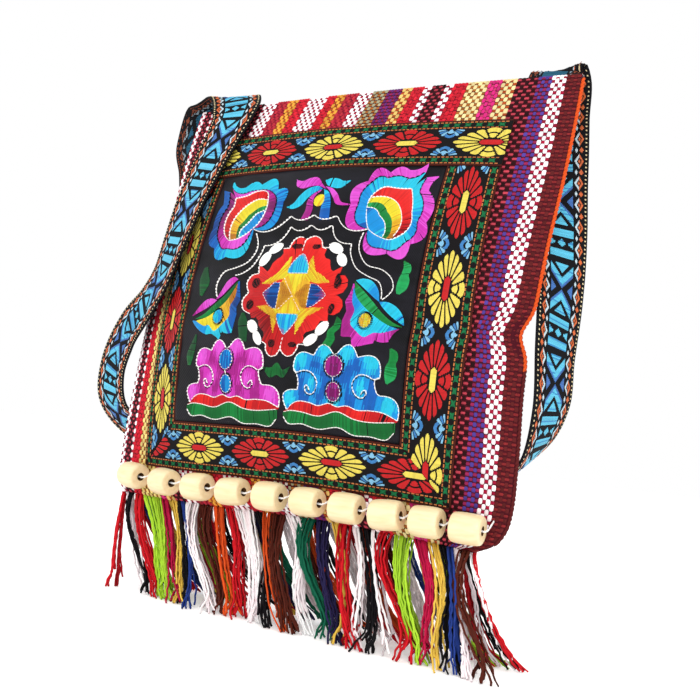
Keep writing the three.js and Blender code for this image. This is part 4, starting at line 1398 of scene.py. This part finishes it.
# One repeat of the strap's pattern: outlines as along and across, for the half on either side
REPEAT = 53
SIDE_DIAMONDS = 4
WHOLE_SHAPES = [
    [(0.2, -7.6), (4.6, -7.6), (4.6, 7.6), (0.2, 7.6)],
    [(12.6, -7.6), (17, -7.6), (17, 7.6), (12.6, 7.6)],
    [(8.6, -2.6), (6.2, 0), (8.6, 2.6), (11, 0)],
    [(19.4, -4.6), (25, 0), (19.4, 4.6)],
    [(49.2, -4.6), (43.6, 0), (49.2, 4.6)],
]
HALF_SHAPES = [
    [(6.4, 7.2), (10.8, 7.2), (8.6, 3.6)],
    [(19.6, 7.6), (24, 7.6), (32.2, 0), (27.8, 0)],
    [(49, 7.6), (44.6, 7.6), (36.4, 0), (40.8, 0)],
]
HALF_SHADES = [
    [(24, 7.6), (25.6, 7.6), (33.8, 0), (32.2, 0)],
    [(44.6, 7.6), (43, 7.6), (34.8, 0), (36.4, 0)],
    [(30.4, 7.6), (38.2, 7.6), (34.3, 4)],
]


def diamond(half_long, half_wide):
    return np.array([(-half_long, 0), (0, half_wide), (half_long, 0), (0, -half_wide)])


def strap_repeat():
    """Outlines and colours of one repeat, its side diamonds and dotted edges."""
    shapes = [(np.array(outline, float), "sky") for outline in WHOLE_SHAPES]
    step = REPEAT / SIDE_DIAMONDS
    for side in (-1, 1):
        shapes += [(np.array(outline) * (1, side), "sky") for outline in HALF_SHAPES]
        shapes += [(np.array(outline) * (1, side), "violet") for outline in HALF_SHADES]
        for k in range(SIDE_DIAMONDS):
            middle = np.array([step * (k + 0.5), side * 11.1])
            corners = middle + np.array([(-4.4, 0), (0, 2.5 * side), (4.4, 0), (0, -2.7 * side)])
            for j, name in enumerate(("orange", "orange", "pale", "pale")):
                a, b = corners[j], corners[(j + 1) % 4]
                shapes.append((np.array([a, b, b * 0.5 + middle * 0.5, a * 0.6 + middle * 0.4]), name))
            shapes.append((middle + diamond(1.2, 0.7), "orange"))
            knot = middle + np.array([step / 2, side * 1.2])
            shapes.append((knot + diamond(1.7, 1.3), "orange"))
            fleck = middle + np.array([step / 2, -side * 1.6])
            shapes.append((fleck + diamond(1.5, 0.9), "pale"))
        for at in np.arange(0.6, REPEAT, REPEAT / 22):
            dot = np.array([at, side * 14.9])
            shapes.append((dot + np.array([(-0.5, -0.45), (0.5, -0.45), (0.5, 0.45), (-0.5, 0.45)]), "dot"))
    return shapes


BRIGHT = {"sky": "strap_sky", "violet": "strap_violet", "orange": "strap_orange", "pale": "strap_pale",
          "dot": "strap_dot"}
DIM = {"sky": "dim_blue", "violet": "dim_blue", "orange": "dim_rust", "pale": "dim_pale", "dot": "dim_rust"}


def strap_pattern(name, face, tints, pitch):
    """The woven pattern on one face of the strap, as floats across the band."""
    heap = Heap()
    level = STRAP["thick"] / 2 - GROUND_DROP

    def surface(a, b, lift):
        return on_strap(np.clip(a, 0, STRAP_LENGTH), b * face, face * (level + lift))

    starts, ends, names = [], [], []
    for outline, tint in strap_repeat():
        s, e = fill(outline, 90, pitch)
        starts.append(s)
        ends.append(e)
        names += [tints[tint]] * len(s)
    starts, ends = np.concatenate(starts), np.concatenate(ends)
    for number in range(math.ceil(STRAP_LENGTH / REPEAT)):
        shift = np.array([number * REPEAT, 0])
        kept = (starts[:, 0] + shift[0]) < STRAP_LENGTH - 1
        chosen = [n for n, k in zip(names, kept) if k]
        shaded = [("strap_blue" if n == "strap_sky" and chance.random() < 0.16 else n) for n in chosen]
        lay(heap, surface, starts[kept] + shift, ends[kept] + shift, varied(shaded), width=pitch * 1.25,
            height=0.3, steps=2)
    heap.piece(name, "strap_band")


def make_strap():
    along = np.linspace(0, STRAP_LENGTH, 420)
    across = STRAP["width"] / 2 * np.array([-1, -0.94, -0.6, -0.2, 0.2, 0.6, 0.94, 1])
    thick = STRAP["thick"] / 2 * np.array([0.45, 0.9, 0.9, 0.9, 0.9, 0.9, 0.9, 0.45])
    a, b = np.meshgrid(along, across, indexing="ij")
    lift = np.broadcast_to(thick, a.shape)
    points, faces = slab(on_strap(a, b, -lift), on_strap(a, b, lift))
    band = single("strap_band", "strap_band", points, faces[:, ::-1], "strap")
    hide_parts("strap")
    strap_pattern("strap_pattern", 1, BRIGHT, 0.75)
    strap_pattern("strap_reverse", -1, DIM, 1.2)


# Beads and their thread
BEAD_SIDES = 36
BEAD_TAPER = 0.8
BEAD_SHOULDER = 1.2


def make_beads():
    wood = wood_material()
    half = BEAD["length"] / 2
    around = np.linspace(0, 2 * np.pi, BEAD_SIDES, endpoint=False)
    level = half * np.sin(np.linspace(-np.pi / 2, np.pi / 2, 21))
    barrel = BEAD["radius"] - BEAD_TAPER * np.abs(level / half) ** 3
    past = np.clip((np.abs(level) - half + BEAD_SHOULDER) / BEAD_SHOULDER, 0, 1)
    shoulder = BEAD_SHOULDER * (1 - np.sqrt(1 - past**2))
    for number in range(BEAD["count"]):
        centre, axis = bead_place(number)
        fat, long = chance.uniform(0.97, 1.02, 2)
        rim = half * long
        hole = [(3.4, rim), (2.5, rim - 0.15), (BEAD["bore"], rim - 0.8)]
        hole += [(radius, -along) for radius, along in hole[::-1]]
        profile = np.concatenate([np.stack([(barrel - shoulder) * fat, level * long], axis=1), hole])
        tilt = chance.normal(0, 0.05, 3)
        axis = unit(axis + tilt - axis * (axis @ tilt))
        up = unit(np.cross(axis, (0, 0, 1)))
        side = np.cross(axis, up)
        ring = np.cos(around)[:, None] * up + np.sin(around)[:, None] * side
        points = centre + profile[:, None, :1] * ring[None] + profile[:, None, 1:] * axis
        rings = len(profile)
        faces = ring_faces(rings, BEAD_SIDES, True)
        mesh = bpy.data.meshes.new(f"wood_bead_{number + 1:02d}")
        mesh.from_pydata(shown(points.reshape(-1, 3)).tolist(), [], faces.tolist())
        mesh.polygons.foreach_set("use_smooth", np.ones(len(faces), bool))
        mesh.materials.append(wood)
        # The faces inside the bore take a dark brown: painted shade in the hole.
        mesh.materials.append(thread("bore"))
        ring_number = np.repeat(np.arange(rings), BEAD_SIDES)
        painted_bore_shade = (ring_number >= rings - 5) & (ring_number <= rings - 3)
        mesh.polygons.foreach_set("material_index", painted_bore_shade.astype(np.int32))
        mesh.update()
        made = add_piece(f"wood_bead_{number + 1:02d}", mesh)
        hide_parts(f"bead_{number + 1:02d}")


BEAD_STRING = {"turn": 0.9, "ply": 0.27, "radius": 0.36, "sides": 6}


def make_bead_thread():
    """A white two-ply thread through all bores, down to the cloth at both ends."""
    points = [lifted("front", BEAD["first"] - 19, BEAD["rise"], 1.9)]
    for number in range(BEAD["count"]):
        centre, axis = bead_place(number)
        points += [centre + axis * along for along in (-9.8, -7, 7, 9.8)]
        if number < BEAD["count"] - 1:
            points.append((centre + bead_place(number + 1)[0]) / 2 + (0, 3.2, 2.2))
    points.append(lifted("front", BEAD["last"] + 11, BEAD["rise"] + 4, 0.9))
    path = catmull(np.array(points), 8)
    heap = Heap()
    count = len(path)
    for ply in (0, np.pi):
        turn = np.arange(count) * BEAD_STRING["turn"] + ply
        twist = BEAD_STRING["ply"] * np.stack([np.zeros(count), np.cos(turn), np.sin(turn)], axis=1)
        tubes(heap, (path + twist)[None], BEAD_STRING["radius"], ["silk"], BEAD_STRING["sides"])
    made = heap.piece("bead_string", "thread")
    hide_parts("bead_thread")


# Fringe: the first stripe has more yarns to a warp end than the others, and it leans less
YARN_POINTS = 27
YARNS = {"first": 10, "other": 3}
FIRST_LEAN = 0.4
YARN_LENGTHS = [1.0, 1.0, 1.0, 0.96, 0.9, 0.82]
YARN_RADII = (0.56, 0.78)
LOCK_TURN = (1.1, 2.1)
# Waves of one yarn, its gathering into the lock, the lock's bow and swing, and the splay of its foot
YARN = {"sway": (0.3, 1.9), "crimp": 0.5, "crimps": (7, 10), "gather": 0.42, "bow": 5, "swing": 3,
        "spread": 9, "splay": 1.3}
FLOOR_REST = 0.7


def lock_lean(x, side, number):
    """How far the foot of a lock lies from its head, along x and y."""
    fade = (x - FRINGE["first"]) * LOCK_LEAN["fade"]
    lean_x = LOCK_LEAN["right"] - fade + LOCK_LEAN["stagger"] * np.sin(number * 2.4)
    outward = -LOCK_LEAN["front"] if side < 0 else LOCK_LEAN["back"]
    return lean_x, outward + LOCK_LEAN["waver"] * np.sin(number * 1.7)


def make_fringe(side_name, side):
    """Warp ends below the hem: the ends of each stripe hang as one lock down to the floor."""
    face = "front" if side < 0 else "back"
    heads = np.linspace(FRINGE["first"], FRINGE["last"], FRINGE["locks"])
    f = np.linspace(0, 1, YARN_POINTS)
    paths, names, radii = [], [], []
    for stripe, (*_, colour) in enumerate(CLOTH[face]):
        warps = WARPS[face][WARPS[face][:, 2] == stripe]
        middle = float(cloth_x(warps[:, 0].mean(), 0))
        lock = int(np.abs(heads - middle).argmin())
        lean_x, lean_y = lock_lean(middle, side, lock + (0 if side < 0 else FRINGE["locks"]))
        lean_x *= FIRST_LEAN if stripe == 0 else 1
        curve, swing = chance.uniform(-1, 1, 2)
        turn = chance.uniform(*LOCK_TURN)
        for place, width, _ in np.repeat(warps, YARNS["other" if stripe else "first"], axis=0):
            start = float(cloth_x(place + chance.uniform(-0.5, 0.5) * width, 0))
            depth = chance.uniform(-1, 1)
            g = f * chance.choice(YARN_LENGTHS)
            top = HEM_HEIGHT + level_shift(start, 0.0) + 0.5
            phase, pace = chance.uniform(0, 6.3, 2)
            sway = chance.uniform(*YARN["sway"]) * np.sin((3 + pace) * g + phase) * g
            ripple = np.sin(2 * np.pi * g * chance.uniform(*YARN["crimps"]) + phase)
            crimp = YARN["crimp"] * ripple * np.minimum(4 * g, 1)
            gather = 1 - YARN["gather"] * np.sin(np.pi * 0.75 * g)
            x = middle + (start - middle) * gather + lean_x * g**1.4 + sway + crimp
            x = x + YARN["bow"] * curve * np.sin(np.pi * turn * g)
            y = side * FRINGE["offset"] + lean_y * g**1.5 + depth * (1.2 + 3.4 * g)
            y = y + YARN["swing"] * swing * np.sin(3.3 * g) + 0.7 * sway + 0.8 * np.roll(crimp, 2)
            spread = chance.uniform(0, YARN["spread"]) * smoothstep(g, 0.8, 1.0)
            splay = chance.uniform(-YARN["splay"], YARN["splay"])
            x = x + spread * math.sin(splay)
            y = y + side * spread * math.cos(splay)
            z = np.maximum(top * (1 - g), FLOOR_REST)
            paths.append(np.stack([x, y, z], axis=1))
            # Yarns on the inner side of a lock take darker copies of their colour, painted shade between the
            # yarns; the outer yarns keep their colour or take a lighter copy.
            shades = ["_dim", "_deep"] if depth * side < -0.3 else ["", "_lit", ""]
            names.append(colour + chance.choice(shades))
            radii.append(np.full(len(f), chance.uniform(*YARN_RADII)))
    heap = Heap()
    tubes(heap, np.array(paths), np.array(radii), names, 4)
    made = heap.piece(f"{side_name}_threads", "fringe_yarn")
    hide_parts(side_name)


# Floor, light and camera
FLOOR_REACH = 6
LIGHT_TARGET = (0, 0, 0.15)
LIGHTS = [
    ("key", (0.95, -1.25, 1.1), 0.9, 13),
    ("fill", (-1.2, -0.9, 0.8), 1.0, 4),
    ("rim", (0.2, 1.3, 1.2), 0.9, 3),
]
# Camera as fitted to the photograph: degrees round the bag, above the level and of roll
CAMERA = {"azimuth": 35.0, "elevation": -4.74, "roll": 6.91, "distance": 608.95, "lens": 54.74}
CAMERA_TARGET = (28.61, 0, HEM_HEIGHT + 99.95)


def make_stage():
    mesh = bpy.data.meshes.new("floor")
    far = FLOOR_REACH
    mesh.from_pydata([(-far, -far, 0), (far, -far, 0), (far, far, 0), (-far, far, 0)], [], [(0, 1, 2, 3)])
    floor = link_object("floor", mesh)
    material, _, _, shader = new_material("floor")
    set_inputs(shader, {
        "Base Color": (0.96, 0.95, 0.94, 1),
        "Roughness": 0.9,
        "Emission Color": (1, 1, 1, 1),
        "Emission Strength": 0.3,
    })
    mesh.materials.append(material)
    world = bpy.data.worlds.new("studio")
    world.use_nodes = True
    set_inputs(world.node_tree.nodes["Background"], {"Color": (1, 1, 1, 1), "Strength": 1.0})
    bpy.context.scene.world = world
    bpy.context.scene.view_settings.view_transform = "Standard"


def stand(made, right, up, back, place):
    """Puts a light or camera at a place, looking away from the back direction."""
    rows = np.stack([right, up, back], axis=1)
    made.matrix_world = Matrix([[*row, p] for row, p in zip(rows, place)] + [[0, 0, 0, 1]])


def area_light(name, place, size, power):
    data = bpy.data.lights.new(name, "AREA")
    data.shape = "DISK"
    data.size = size
    data.energy = power
    back = unit(np.array(place, float) - np.array(LIGHT_TARGET, float))
    right = unit(np.cross((0, 0, 1), back))
    stand(link_object(name, data), right, np.cross(back, right), back, place)


def make_camera():
    azimuth, elevation, roll = (math.radians(CAMERA[k]) for k in ("azimuth", "elevation", "roll"))
    back = np.array([math.sin(azimuth) * math.cos(elevation), -math.cos(azimuth) * math.cos(elevation),
                     math.sin(elevation)])
    level = np.array([math.cos(azimuth), math.sin(azimuth), 0])
    upright = np.cross(back, level)
    right = level * math.cos(roll) + upright * math.sin(roll)
    up = upright * math.cos(roll) - level * math.sin(roll)
    data = bpy.data.cameras.new("camera")
    data.lens = CAMERA["lens"]
    data.clip_start = 0.01
    camera = link_object("camera", data)
    stand(camera, right, up, back, shown(np.array(CAMERA_TARGET) + CAMERA["distance"] * back))
    bpy.context.scene.camera = camera


make_camera()
make_stage()
for row in LIGHTS:
    area_light(*row)
make_pouch()
make_panel()
make_ribbons()
make_strap()
make_beads()
make_bead_thread()
make_fringe("fringe_front", -1)
make_fringe("fringe_back", 1)
